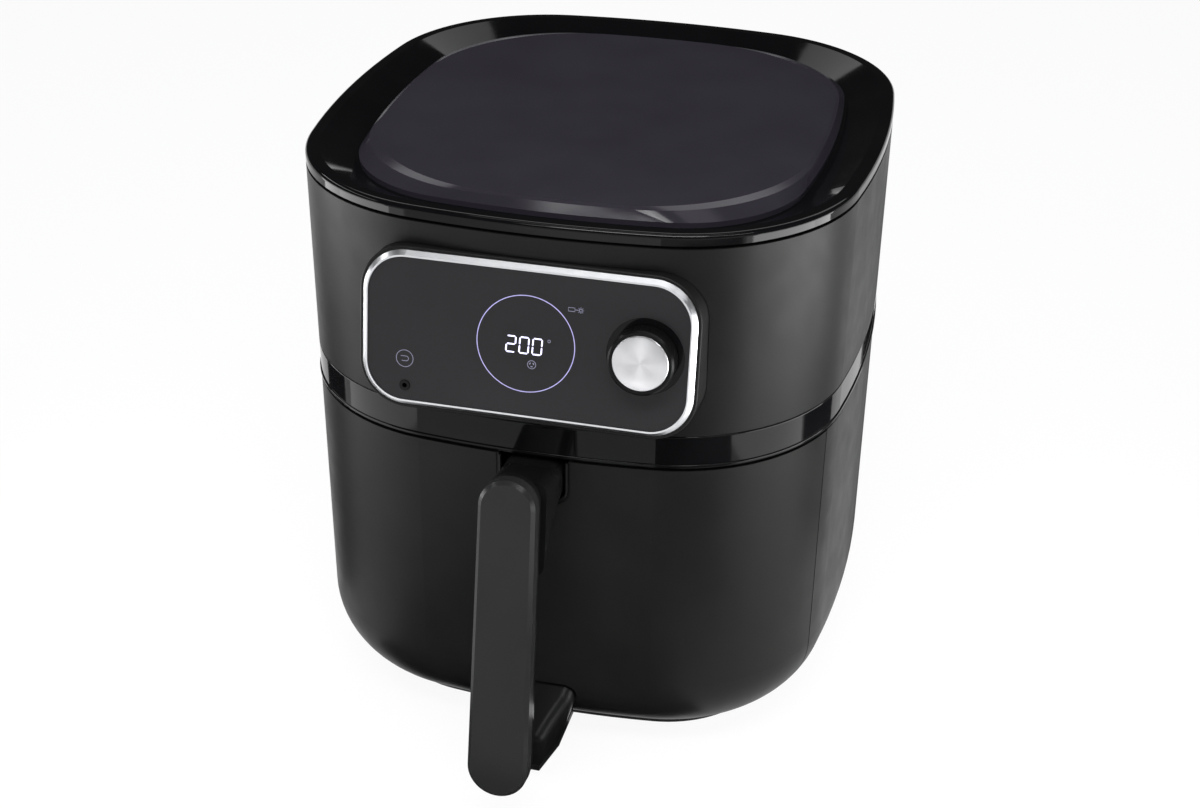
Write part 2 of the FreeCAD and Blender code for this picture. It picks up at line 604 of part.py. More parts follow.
def grille_prism(name, grow):
    """A block through the back wall with the outlet's outline."""
    body = new_body(name)
    sketch = new_sketch(body, name + "_outline", "XZ_Plane", f"-({HALF_D} + {{past}})")
    grille_outline(grow)(sketch)
    pad(body, sketch, "{cut_depth}")
    return body


def make_upper_housing():
    """Satin shell between the band and the top cover, open for the panel and the air outlet."""
    outer = drafted("upper_outer", "{band_high}", UPPER_TOP, "0", "{seam_round}")
    inner = drafted("upper_inner", "{band_high} - {past}", f"{UPPER_TOP} + {{past}}", "{wall}")
    hole = plate_body("pod_hole", pod_outline("{fit_gap}"), "-{pod_depth} - {cut_depth}", "{cut_depth}")
    on_panel(hole, False)
    node(cut(cut(cut(outer, inner), hole), grille_prism("grille_hole", "{fit_gap}")), "upper_housing")


def make_gloss_band():
    """Glossy belt with a fine bead along its lower edge and a set-back skirt on the lower housing."""
    low = S("{band_low}")
    belt = drafted("band_belt", low, "{band_high}")
    round_edges(belt, "{seam_round}", level("{band_high}"))
    bead_top = S(f"({low} + {{bead_height}})")
    bead_inset = f"{inset_at(low)} - {{bead_proud}}"
    bead = plate_body("band_bead", lambda sketch: squircle(sketch, bead_inset), low, bead_top)
    round_edges(bead, "{bead_proud}", lambda edge: level(bead_top)(edge) or level(low)(edge))
    skirt = drafted("band_skirt", LOWER_TOP, f"{low} + {{past}}", "{band_skirt}")
    inner = drafted("band_inner", f"{LOWER_TOP} - {{past}}", "{band_high} + {past}", "{wall} + {band_skirt}")
    node(cut(fuse(belt, bead, skirt), inner), "gloss_band")


def make_lower():
    """Lower shell, parted at the drawer seam into the housing behind and the drawer front before it."""
    def shell(name, high):
        outer = drafted(name + "_outer", BELLY_LOW, high, "0", "{belly_radius}")
        inner = drafted(name + "_inner", f"{BELLY_LOW} + {{wall}}", f"{high} + {{past}}", "{wall}",
                        "{belly_radius} - {wall}")
        return cut(outer, inner)

    wide = S(f"({HALF_W} + {{past}})")
    far = S(f"({HALF_D} + {{past}})")
    front_half = block("drawer_side", f"-{wide}", wide, f"-{far}", "{seam_y}", "0", TOP)
    housing = cut(shell("lower", LOWER_TOP), front_half)
    bosses = []
    holes = []
    for i, (x, y) in enumerate(CORNERS):
        place = (f"{x} * {{screw_x}}", f"{y} * {{screw_y}}", BASE_TOP)
        boss_top = f"{BELLY_LOW} + {{past}}"
        hole_top = f"{BELLY_LOW} + {{wall}} + {{past}}"
        bosses.append(cylinder(f"base_boss_{i}", *place, boss_top, "{screw_head} + {boss_wall}"))
        holes.append(cylinder(f"housing_hole_{i}", *place, hole_top, "{screw_radius}"))
    gland_hole = cylinder("gland_hole", "{gland_x}", "0", "0", "{cut_depth}", "{gland_radius}")
    gland_spot = "vector({gland_x}; {liner_back} + {gland_clear}; {gland_height})"
    gland_hole.setExpression("Placement", S(f"placement({gland_spot}; rotation(vector(1; 0; 0); -90))"))
    node(cut(fuse(housing, *bosses), fuse(gland_hole, *holes)), "lower_housing")

    front_side = block("front_side", f"-{wide}", wide, f"-{far}", "{seam_y} - {seam_gap}", "0", TOP)
    front = common(shell("front", DRAWER_TOP), front_side)
    slot = new_body("arm_slot")
    sketch = new_sketch(slot, "arm_slot_outline", "XZ_Plane", f"{HALF_D} - {{slot_run}}")
    round_rect(sketch, "-{slot_half_width}", "{slot_half_width}", "{slot_low}", TOP, "{slot_corner}")
    pad(slot, sketch, "{slot_run} + {past}")
    step = new_sketch(slot, "arm_slot_step", "XZ_Plane", f"{HALF_D} - {{slot_step_depth}}")
    side = "({slot_half_width} + {slot_step_width})"
    round_rect(step, f"-{side}", side, "{slot_low} - {slot_step_width}", TOP,
               "{slot_corner} + {slot_step_width}")
    pad(slot, step, "{slot_step_depth} + {past}")
    notch = new_body("toe_notch")
    sketch = new_sketch(notch, "toe_notch_outline", "XZ_Plane", "-{seam_y}")
    sole, root = "({toe_sole_half} + {toe_gap})", "({toe_root_half} + {toe_gap})"
    notch_top = "{toe_high} + {toe_gap}"
    polygon(sketch, [(f"-{sole}", "0"), (sole, "0"), (sole, BASE_TOP), (root, notch_top),
                     (f"-{root}", notch_top), (f"-{sole}", BASE_TOP)])
    pad(notch, sketch, f"{{seam_y}} + {far}")
    at_top = level(notch_top)
    round_edges(notch, "{toe_round} + {toe_gap}", lambda edge: at_top(edge) and edge.BoundBox.YLength > NEAR)
    node(cut(front, fuse(slot, notch)), "drawer_front")


def toe_plan(sketch, rear, root_half, tip_half):
    """The front foot's plan: straight out of the body, then narrowing to its tip."""
    shoulder = S(f"(-{HALF_D} + {{toe_shoulder}})")
    polygon(sketch, [(f"-{root_half}", rear), (f"-{root_half}", shoulder), (f"-{tip_half}", TOE_TIP),
                     (tip_half, TOE_TIP), (root_half, shoulder), (root_half, rear)])


CORNERS = [(1, 1), (-1, 1), (-1, -1), (1, -1)]


def make_base():
    """Base plate with its tongue, the sloped front foot on the tongue, rubber feet and screws."""
    plate = loft_body("base_slab", [("{foot_height}", "{base_inset}"), (BASE_TOP, "{base_inset}")])
    root = S(f"(-({HALF_D} - {{base_inset}}) + {{tongue_bite}})")
    sole = ("{toe_sole_half}", "{toe_sole_tip}")
    tongue = plate_body("base_tongue", lambda s: toe_plan(s, root, *sole), "{foot_height}", BASE_TOP)
    holes = []
    screws = []
    for i, (x, y) in enumerate(CORNERS):
        place = (f"{x} * {{screw_x}}", f"{y} * {{screw_y}}")
        head_top = S("({foot_height} + {screw_head_height})")
        hole_top = f"{BASE_TOP} + {{past}}"
        holes.append(cylinder(f"plate_hole_{i}", *place, "0", hole_top, "{screw_radius} + {fit_gap}"))
        holes.append(cylinder(f"head_hole_{i}", *place, "0", head_top, "{screw_head} + {fit_gap}"))
        head = cylinder(f"screw_head_{i}", *place, "{foot_height}", head_top, "{screw_head}")
        shank = cylinder(f"screw_shank_{i}", *place, "{foot_height}", f"{head_top} + {{screw_length}}",
                         "{screw_radius} - {shaft_gap}")
        screws.append(fuse(head, shank))
    node(cut(fuse(plate, tongue), fuse(*holes)), "base_plate")
    node(group(*screws), "base_screws")
    feet = []
    for i, (x, y) in enumerate(CORNERS):
        foot = doc.addObject("Part::Cone", f"foot_{i}")
        foot.setExpression("Radius1", S("{foot_radius} - {foot_taper}"))
        foot.setExpression("Radius2", S("{foot_radius}"))
        foot.setExpression("Height", S("{foot_height}"))
        foot.setExpression("Placement.Base.x", S(f"{x} * {{foot_x}}"))
        foot.setExpression("Placement.Base.y", S(f"{y} * {{foot_y}}"))
        feet.append(foot)
    node(group(*feet), "rubber_feet")

    wedge = new_body("toe_wedge")
    plans = []
    for height, halves in ((BASE_TOP, sole), ("{toe_high}", ("{toe_root_half}", "{toe_tip_half}"))):
        plans.append(new_sketch(wedge, "toe_plan", "XY_Plane", height))
        toe_plan(plans[-1], TOE_REAR, *halves)
    join(wedge, plans)
    slope = new_sketch(wedge, "toe_slope", "YZ_Plane", "-{toe_root_half} - {past}")
    ridge, ahead, above = S(f"(-{HALF_D} + {{toe_ridge}})"), f"{TOE_TIP} - {{past}}", "{toe_high} + {past}"
    polygon(slope, [(ridge, "{toe_high}"), (ridge, above), (ahead, above), (ahead, "{toe_tip_high}"),
                    (TOE_TIP, "{toe_tip_high}")])
    pad(wedge, slope, "2 * ({toe_root_half} + {past})", cut=True)
    above_sole = number(BASE_TOP) + NEAR
    ahead_of_rear = number(TOE_REAR) - NEAR
    round_edges(wedge, "{toe_round}",
                lambda edge: edge.BoundBox.ZMax > above_sole and edge.BoundBox.YMin < ahead_of_rear)
    node(wedge, "front_foot")


def make_panel():
    """Pod, silver bezel, dark lens, black ring round the knob, and the board with its display and lights."""
    flange_low = S("(-{pod_depth})")
    outer = plate_body("pod_outer", pod_outline("0"), flange_low, "-{pod_drop}")
    round_edges(outer, "{pod_round}", level("-{pod_drop}"))
    on_panel(outer, False)
    ledge = on_panel(plate_body("pod_ledge", pod_outline("{pod_flange}"), flange_low, "-{pod_drop}"), False)
    inside = drafted("pod_inside", "{band_high} + {pod_low_room}", f"{UPPER_TOP} - {{pod_high_room}}",
                     "{wall} + {fit_gap}")
    recess = plate_body("pod_recess", lambda s: bezel_outline(s, "{fit_gap} / 2"), "-{lens_thickness}",
                        "{past}")
    window = plate_body("pod_window", lambda s: lens_outline(s, "-{window_lip}"), flange_low, "0")
    cavity = plate_body("pod_cavity", lambda s: bezel_outline(s, "-{cavity_step}"),
                        f"{flange_low} - {{past}}", "-{lens_thickness} - {wall}")
    hollow = on_panel(fuse(recess, window, cavity), False)
    posts = []
    for i, (x, y) in enumerate(CORNERS):
        place = (f"{x} * {{post_x}}", f"{y} * ({{lens_half_height}} - {{window_lip}})")
        post_top = "-{lens_thickness} - {past}"
        posts.append(cylinder(f"board_post_{i}", *place, BOARD, post_top, "{post_radius}"))
    stand = on_panel(fuse(*posts), False)
    shell = cut(fuse(outer, common(ledge, inside)), hollow)
    node(fuse(shell, stand), "panel_pod")

    ring = plate_body("bezel_ring", lambda s: bezel_outline(s, "0"), "-{lens_thickness}", "{bezel_proud}")
    slope = bevel_edges(ring, "{bezel_slope_width}", level("{bezel_proud}"))
    slope.ChamferType = "Two distances"
    slope.setExpression("Size2", S("{bezel_slope_height}"))
    pocket(ring, lambda s: lens_outline(s, "{fit_gap} / 2"), "-{lens_thickness} - {past}",
           "{bezel_proud} + {past}")
    panel_node(ring, "panel_bezel")

    lens = plate_body("lens_plate", lambda s: lens_outline(s, "0"), "-{lens_thickness}", "0")
    through = ("-{lens_thickness} - {past}", "{past}")
    pocket(lens, lambda s: circle(s, "{knob_x}", "{knob_v}", "{bush_radius} + {fit_gap}"), *through)
    pocket(lens, lambda s: circle(s, "{jack_x}", "{jack_v}", "{jack_ring_radius} + {fit_gap} / 2"), *through)
    pocket(lens, lambda s: circle(s, "{knob_x}", "{knob_v}", "{knob_ring_radius} + {fit_gap} / 2"),
           "-{knob_ring_depth}", "{past}")
    panel_node(lens, "panel_lens")
    seat = plate_body("ring_disc", lambda s: circle(s, "{knob_x}", "{knob_v}", "{knob_ring_radius}"),
                      "-{knob_ring_depth}", "0")
    pocket(seat, lambda s: circle(s, "{knob_x}", "{knob_v}", "{bush_radius} + {fit_gap}"), *through)
    panel_node(seat, "knob_ring")

    board = plate_body("board_plate", lambda s: lens_outline(s, "-{fit_gap}"),
                       f"{BOARD} - {{board_thickness}}", BOARD)
    panel_node(board, "control_board")
    wide, high = "{display_width} / 2", "{display_height} / 2"
    sides = (f"-{wide}", wide, f"-{high}", high)
    display = plate_body("display_block", lambda s: round_rect(s, *sides, "{display_corner}"), BOARD,
                         "-{lens_thickness} - {display_gap}")
    panel_node(display, "display_module")
    guide = revolve("guide_ring", [
        ("{ring_radius} - {ring_wall}", BOARD), ("{ring_radius} + {ring_wall}", BOARD),
        ("{ring_radius} + {ring_wall} / 2", "-{lens_thickness}"),
        ("{ring_radius} - {ring_wall} / 2", "-{lens_thickness}")])
    panel_node(guide, "light_ring")


def lens_outline(sketch, grow):
    wide, high = f"({{lens_half_width}} + {grow})", f"({{lens_half_height}} + {grow})"
    round_rect(sketch, f"-{wide}", wide, f"-{high}", high, f"{{lens_corner}} + {grow}")


def bezel_outline(sketch, grow):
    lens_outline(sketch, f"{{bezel_width}} + {grow}")


def make_knob():
    """Encoder on the board, its push plunger and shaft, and the knob with its spun cap."""
    room = S("({shaft_radius} + {shaft_gap})")
    top = S(f"({BOARD} + {{encoder_height}})")
    half = S("({encoder_width} / 2)")
    sides = (f"{{knob_x}} - {half}", f"{{knob_x}} + {half}", f"{{knob_v}} - {half}", f"{{knob_v}} + {half}")
    encoder = plate_body("encoder_box", lambda s: round_rect(s, *sides, "{encoder_corner}"), BOARD, top)
    sketch = new_sketch(encoder, "encoder_bush", "XY_Plane", top)
    circle(sketch, "{knob_x}", "{knob_v}", "{bush_radius}")
    pad(encoder, sketch, f"-({top}) - {{slide_gap}}")
    pocket(encoder, lambda s: circle(s, "{knob_x}", "{knob_v}", room),
           f"{BOARD} + {{plunger_length}} + {{fit_gap}}", "{past}")
    pocket(encoder, lambda s: circle(s, "{knob_x}", "{knob_v}", "{plunger_radius} + {shaft_gap}"),
           f"{BOARD} - {{past}}", f"{BOARD} + {{plunger_length}} + {{press_travel}} + {{past}}")
    panel_node(encoder, "rotary_encoder")

    plunger_low = S(f"({BOARD} + {{press_travel}} + {{fit_gap}})")
    plunger_top = S(f"({plunger_low} + {{plunger_length}})")
    plunger = cylinder("plunger_pin", "{knob_x}", "{knob_v}", plunger_low, plunger_top, "{plunger_radius}")
    panel_node(lifted(plunger), "encoder_plunger")
    knob_top = S("({knob_lift} + {knob_height})")
    cap_low = S(f"({knob_top} - {{knob_cap_thickness}})")
    shaft_top = S(f"({cap_low} - {{knob_web}})")
    shaft_low = f"{plunger_top} + {{fit_gap}}"
    shaft = cylinder("knob_spindle", "{knob_x}", "{knob_v}", shaft_low, shaft_top, "{shaft_radius}")
    panel_node(lifted(shaft), "knob_shaft")

    body = revolve("knob_form", [
        ("{shaft_radius}", "{knob_lift}"), ("{knob_radius}", "{knob_lift}"),
        ("{knob_radius}", f"{knob_top} - {{knob_bevel}}"), ("{knob_radius} - {knob_bevel}", knob_top),
        ("{knob_cap_radius}", knob_top), ("{knob_cap_radius}", cap_low), ("0", cap_low), ("0", shaft_top),
        ("{shaft_radius}", shaft_top)])
    panel_node(moved(body), "knob_body")
    cap_edge = "{knob_cap_radius} - {shaft_gap}"
    crown = S(f"({knob_top} + {{cap_crown}})")
    cap = revolve("cap_form", [
        ("0", cap_low), (cap_edge, cap_low), (cap_edge, f"{knob_top} - {{cap_edge_height}}"),
        ("{knob_cap_radius} - {cap_edge_width}", crown), ("0", f"{crown} - {{cap_dish}}")])
    panel_node(moved(cap), "knob_cap")


def lifted(piece):
    """A primitive kept in a compound of one, so that its own place stays free for the panel."""
    return group(piece)


def moved(body):
    """A turned piece drawn on the axis, moved to the knob's place on the panel."""
    body.setExpression("Placement.Base.x", S("{knob_x}"))
    body.setExpression("Placement.Base.y", S("{knob_v}"))
    return group(body)


def make_probe_jack():
    """Socket for a plug-in temperature probe, its ring showing in the lens."""
    jack = plate_body("jack_barrel", lambda s: circle(s, "{jack_x}", "{jack_v}", "{jack_barrel_radius}"),
                      BOARD, "-{lens_thickness}")
    sketch = new_sketch(jack, "jack_ring", "XY_Plane", "-{lens_thickness}")
    circle(sketch, "{jack_x}", "{jack_v}", "{jack_ring_radius}")
    pad(jack, sketch, "{lens_thickness} + {jack_proud}")
    pocket(jack, lambda s: circle(s, "{jack_x}", "{jack_v}", "{jack_bore_radius}"),
           "{jack_proud} - {jack_depth}", "{jack_proud} + {past}")
    panel_node(jack, "probe_socket")


def tub(name, half_width, front, back, low, high, corner, floor_round, thickness):
    """An open tub with rounded corners and floor, of even wall."""
    def draw(grow):
        return lambda s: round_rect(s, f"-({half_width}) - ({grow})", f"({half_width}) + ({grow})",
                                    f"({front}) - ({grow})", f"({back}) + ({grow})", f"({corner}) + ({grow})")

    outer = plate_body(name + "_outer", draw("0"), low, high)
    round_edges(outer, floor_round, level(low))
    floor = f"({low}) + ({thickness})"
    inner = plate_body(name + "_inner", draw(f"-({thickness})"), floor, f"({high}) + {{past}}")
    round_edges(inner, f"({floor_round}) - ({thickness})", level(floor))
    return outer, inner


def make_drawer():
    """Pan with its side flanges, basket with a perforated floor, and the panel behind the drawer front."""
    outer, inner = tub("pan", "{pan_half_width}", "{pan_front}", "{pan_back}", "{pan_low}", "{pan_high}",
                       "{pan_corner}", "{pan_floor_round}", "{pan_wall}")
    side = "({pan_half_width} + {pan_flange})"
    sides = (f"-{side}", side, "{pan_front}", "{pan_back}")
    flange = plate_body("pan_rim", lambda s: round_rect(s, *sides, "{pan_corner}"),
                        "{pan_high} - {pan_flange_height}", "{pan_high}")
    node(cut(fuse(outer, flange), inner), "pan")

    gap = "({pan_wall} + {basket_gap})"
    b_w = f"({{pan_half_width}} - {gap})"
    b_front = f"({{pan_front}} + {gap})"
    b_back = f"({{pan_back}} - {gap})"
    b_high = "({pan_high} - {basket_drop})"
    b_corner = f"({{pan_corner}} - {gap})"
    outer, inner = tub("basket", b_w, b_front, b_back, BASKET_LOW, b_high, b_corner, "{basket_floor_round}",
                       "{basket_wall}")

    def floor_outline(inset, corner):
        return lambda s: round_rect(s, f"-{b_w} + {inset}", f"{b_w} - {inset}", f"{b_front} + {inset}",
                                    f"{b_back} - {inset}", corner)

    floor_top = S(f"({BASKET_LOW} + {{basket_wall}})")
    window = plate_body("basket_window", floor_outline("{basket_window_inset}", "{basket_window_corner}"),
                        f"{BASKET_LOW} - {{past}}", f"{floor_top} + {{past}}")
    middle = f"({b_front} + {b_back}) / 2"
    reach = f"(({b_back} - {b_front}) / 2 - {{basket_foot_inset}})"
    feet = []
    for i, (x, y) in enumerate(CORNERS):
        place = (f"{x} * ({b_w} - {{basket_foot_inset}})", f"{middle} + {y} * {reach}")
        feet.append(cylinder(f"basket_foot_{i}", *place, "{pan_low} + {pan_wall}", f"{BASKET_LOW} + {{past}}",
                             "{basket_foot_radius}"))
    node(cut(fuse(cut(outer, inner), *feet), window), "basket")
    mesh = plate_body("mesh_plate_slab", floor_outline("{mesh_inset}", "{mesh_corner}"), floor_top,
                      f"{floor_top} + {{mesh_thickness}}")
    sketch = new_sketch(mesh, "mesh_holes", "XY_Plane", f"{floor_top} - {{past}}")
    circle(sketch, f"-{b_w} + {{mesh_border}}", f"{b_front} + {{mesh_border}}", "{mesh_hole}")
    hole = pad(mesh, sketch, "{mesh_thickness} + 2 * {past}", cut=True)
    across = f"floor(2 * ({b_w} - {{mesh_border}}) / {{mesh_pitch}})"
    along = f"floor(({b_back} - {b_front} - 2 * {{mesh_border}}) / {{mesh_pitch}})"
    rows = mesh.newObject("PartDesign::MultiTransform", "mesh_rows")
    steps = []
    for axis, count in (("X_Axis", across), ("Y_Axis", along)):
        line = mesh.newObject("PartDesign::LinearPattern", f"mesh_{axis[0].lower()}")
        line.Direction = (next(f for f in mesh.Origin.OriginFeatures if f.Role == axis), [""])
        line.setExpression("Length", S(f"{count} * {{mesh_pitch}}"))
        line.setExpression("Occurrences", S(f"{count} + 1"))
        steps.append(line)
    rows.Originals = [hole]
    rows.Transformations = steps
    mesh.Tip = rows
    node(mesh, "mesh_plate")

    sheet_front = S("({pan_front} - {inner_panel_thickness})")
    slab = block("inner_panel_slab", f"-{HALF_W}", HALF_W, sheet_front, "{pan_front}", "{pan_low}",
                 f"{DRAWER_TOP} - {{inner_panel_drop}}")
    ribs = []
    for i, sign in enumerate((-1, 1)):
        left = f"{sign} * {{rib_x}} - {{rib_thickness}} / 2"
        right = f"{sign} * {{rib_x}} + {{rib_thickness}} / 2"
        ribs.append(block(f"front_rib_{i}", left, right, f"-{HALF_D}", f"{sheet_front} + {{past}}",
                          "{pan_low} + {rib_rise}", f"{DRAWER_TOP} - {{rib_drop}}"))
    inside = drafted("rib_inside", "{pan_low} - {past}", f"{DRAWER_TOP} - {{past}}", "{wall} + {rib_gap}")
    shape = common(fuse(slab, *ribs), inside)
    node(shape, "drawer_inner_panel")


def make_handle():
    """Arm from the drawer front's slot, and the two-piece grip that it carries."""
    face = new_body("grip_face")
    sketch = new_sketch(face, "grip_face_outline", "XY_Plane", "-{grip_front_depth}")
    taper_slot(sketch, "{grip_length}", "{grip_top_radius}", "{grip_low_radius}")
    pad(face, sketch, "{grip_front_depth}")
    bevel_edges(face, "{grip_bevel}", level("0"))
    grip_node(face, "grip_front")

    rear = new_body("grip_rear")
    depth = S("({grip_front_depth} + {grip_back_depth})")
    sketch = new_sketch(rear, "grip_rear_outline", "XY_Plane", f"-{depth}")
    taper_slot(sketch, "{grip_length} - 2 * {grip_step}", "{grip_top_radius} - {grip_step}",
               "{grip_low_radius} - {grip_step}")
    pad(rear, sketch, "{grip_back_depth}")
    round_edges(rear, "{grip_back_round}", level(f"-{depth}"))
    grip_node(rear, "grip_back")

    arm = new_body("arm_form")
    sketch = new_sketch(arm, "arm_side", "YZ_Plane", "-{arm_half_width}")
    root = S("({pan_front} - {inner_panel_thickness})")
    low = S("({arm_high} - {arm_root_height})")
    outer = S(f"(-{HALF_D} - {{arm_reach}})")
    inside_grip = S(f"({outer} - {{arm_reach}})")
    throat_y = S(f"(-{HALF_D} - {{arm_throat_start}})")
    throat_low = S(f"({low} - {{arm_throat}})")
    polygon(sketch, [(root, low), (root, "{arm_high}"), (f"-{HALF_D} - {{arm_bend}}", "{arm_high}"),
                     (outer, "{arm_high} + {arm_rise}"), (inside_grip, "{arm_high} + {arm_rise}"),
                     (inside_grip, throat_low), (f"{outer} - {{arm_heel}}", throat_low), (throat_y, low)])
    pad(arm, sketch, "{arm_half_width} * 2")
    bend = number(throat_y)
    wall = number(root)
    round_edges(arm, "{arm_throat}",
                lambda edge: edge.BoundBox.YMin > bend - NEAR and edge.BoundBox.YMax < bend + NEAR)
    round_edges(arm, "{arm_edge}",
                lambda edge: edge.BoundBox.XLength < NEAR and edge.BoundBox.YMin < wall - NEAR)
    big = "{grip_length}"
    sides = (f"-{big}", big, f"-{big}", big)
    clear = plate_body("grip_room", lambda s: round_rect(s, *sides, "{grip_bevel}"), f"-{depth}", big)
    shaped = cut(arm, on_grip(clear, False))
    node(shaped, "handle_arm")


def make_liner():
    """Liner round the pan, standing on the lower housing's floor, with its two rails."""
    front = S("({seam_y} + {liner_front_gap})")
    top = CHAMBER_LOW
    ahead = f"{front} - {{liner_corner}} - {{past}}"
    outer, inner = tub("liner", "{liner_half_width}", ahead, "{liner_back}", "{liner_low}", top,
                       "{liner_corner}", "{pan_floor_round}", "{liner_wall}")
    away = block("liner_mouth", f"-{HALF_W}", HALF_W, f"-{HALF_D}", front, "0", TOP)
    posts = []
    for i, (x, y) in enumerate(CORNERS):
        place = (f"{x} * {{liner_post_x}}", f"{y} * {{screw_y}}")
        posts.append(cylinder(f"liner_post_{i}", *place, f"{BELLY_LOW} + {{wall}}", "{liner_low} + {past}",
                              "{liner_post_radius}"))
    shell = cut(fuse(outer, *posts), fuse(inner, away))
    node(shell, "inner_liner")
    rail_top = S("({pan_high} - {pan_flange_height} - {fit_gap})")
    inside = S("({liner_half_width} - {liner_wall})")
    for name, sign in (("rail_left", -1), ("rail_right", 1)):
        near = S(f"({inside} - {{rail_width}})")
        left, right = (near, inside) if sign > 0 else (f"-{inside}", f"-{near}")
        ends = (f"{front} + {{rail_end_gap}}", "{liner_back} - {liner_corner} - {rail_end_gap}")
        bar = block(name + "_bar", left, right, *ends, f"{rail_top} - {{rail_height}}", rail_top)
        node(lifted(bar), name)


def make_chamber():
    """Pressed roof over the pan, with the spiral heater and its clips under it."""
    def roof_outline(grow):
        wide, deep = f"({{chamber_half_width}} + {grow})", f"({{chamber_half_depth}} + {grow})"
        return lambda s: round_rect(s, f"-{wide}", wide, f"-{deep}", deep, f"{{chamber_corner}} + {grow}")

    roof = S("({chamber_high} - {chamber_wall})")
    dome = plate_body("chamber_dome", roof_outline("0"), CHAMBER_LOW, "{chamber_high}")
    round_edges(dome, "{chamber_round}", level("{chamber_high}"))
    brim = plate_body("chamber_brim", roof_outline("{chamber_flange}"), CHAMBER_LOW,
                      f"{CHAMBER_LOW} + {{chamber_wall}}")
    room = plate_body("chamber_room", roof_outline("(-{chamber_wall})"), f"{CHAMBER_LOW} - {{past}}", roof)
    round_edges(room, "{chamber_round} - {chamber_wall}", level(roof))
    through = (f"{roof} - {{past}}", "{chamber_high} + {past}")
    hole = cylinder("chamber_hole", "0", "0", *through, "{shaft_hole_radius}")
    probe = cylinder("sensor_hole", "{sensor_x}", "0", *through, "{sensor_radius} + {fit_gap}")
    leads = [cylinder("lead_hole_out", HEATER_END, "0", *through, "{heater_tube} + {fit_gap}"),
             cylinder("lead_hole_in", "-{heater_inner}", "0", *through, "{heater_tube} + {fit_gap}")]
    node(cut(fuse(dome, brim), fuse(room, hole, probe, *leads)), "heat_chamber")

    path = new_body("heater_path")
    sketch = new_sketch(path, "heater_spiral", "XY_Plane", "{heater_height}")
    radius = number(S("{heater_inner}"))
    step = number(S("{heater_pitch}")) / 2
    halves = int(2 * number(S("{heater_turns}")))
    arcs = []
    for i in range(halves):
        middle = FreeCAD.Vector(0 if i % 2 == 0 else -step, 0, 0)
        start = math.pi if i % 2 == 0 else 0
        ring = Part.Circle(middle, FreeCAD.Vector(0, 0, 1), radius + step * i)
        arcs.append(sketch.addGeometry(Part.ArcOfCircle(ring, start, start + math.pi)))
    for i, arc in enumerate(arcs):
        bind(sketch, "Radius", (arc,), S(f"{{heater_inner}} + {{heater_pitch}} / 2 * {i}"))
        hold(sketch, arc, 3, "0" if i % 2 == 0 else "-{heater_pitch} / 2", "0")
        sketch.addConstraint(Sketcher.Constraint("PointOnObject", arc, 1, -1))
        sketch.addConstraint(Sketcher.Constraint("PointOnObject", arc, 2, -1))
    section = new_sketch(path, "heater_section", "XZ_Plane")
    circle(section, "-{heater_inner}", "{heater_height}", "{heater_tube}")
    pipe = path.newObject("PartDesign::AdditivePipe", "heater_pipe")
    pipe.Profile = section
    pipe.Spine = (sketch, [f"Edge{i + 1}" for i in range(len(arcs))])
    lead_top = "{chamber_high} + {heater_lead}"
    legs = [cylinder("heater_leg_in", "-{heater_inner}", "0", "{heater_height}", lead_top, "{heater_tube}"),
            cylinder("heater_leg_out", HEATER_END, "0", "{heater_height}", lead_top, "{heater_tube}")]
    node(fuse(path, *legs), "heating_element")


def make_motor():
    """Bracket, motor, shaft, hot-air fan under the roof and cooling fan over the motor."""
    top = S("{chamber_high}")
    half = "{bracket_half}"
    low = S("({motor_low} - {bracket_thickness})")
    sides = (f"-{half}", half, f"-{half}", half)
    bracket = plate_body("bracket_plate", lambda s: round_rect(s, *sides, "{bracket_corner}"), low,
                         "{motor_low}")
    pocket(bracket, lambda s: circle(s, "0", "0", "{shaft_hole_radius}"), f"{low} - {{past}}",
           "{motor_low} + {past}")
    reach = f"({half} - {{bracket_leg_inset}})"
    legs = []
    for i, (x, y) in enumerate(CORNERS):
        legs.append(cylinder(f"bracket_leg_{i}", f"{x} * {reach}", f"{y} * {reach}", top, f"{low} + {{past}}",
                             "{bracket_leg} / 2"))
    node(fuse(bracket, *legs), "motor_bracket")
    bore = "{fan_shaft_radius} + {shaft_gap}"
    can = revolve("motor_can", [
        (bore, "{motor_low}"), ("{motor_radius} - {motor_low_bevel}", "{motor_low}"),
        ("{motor_radius}", "{motor_low} + {motor_low_bevel}"),
        ("{motor_radius}", "{motor_high} - {motor_high_bevel}"),
        ("{motor_radius} - {motor_high_bevel}", "{motor_high}"), (bore, "{motor_high}")])
    node(can, "fan_motor")
    shaft_low = S("({fan_low} - {nut_height})")
    shaft_high = S("({cooler_low} + {cooler_height})")
    node(lifted(cylinder("spindle", "0", "0", shaft_low, shaft_high, "{fan_shaft_radius}")), "fan_shaft")
    nut = plate_body("nut_form", lambda s: circle(s, "0", "0", "{nut_radius}"), shaft_low, "{fan_low}")
    pocket(nut, lambda s: circle(s, "0", "0", "{fan_shaft_radius}"), f"{shaft_low} - {{past}}",
           "{fan_low} + {past}")
    node(nut, "fan_nut")
    hot = impeller("hot_fan", "{fan_radius}", "{fan_low}", "{fan_height}", "{fan_blades}",
                   "{fan_blade_lean}", True)
    node(hot, "convection_fan")
    cool = impeller("cool_fan", "{cooler_radius}", "{cooler_low}", "{cooler_height}", "{cooler_blades}",
                    "{cooler_blade_lean}", False)
    node(cool, "cooling_fan")


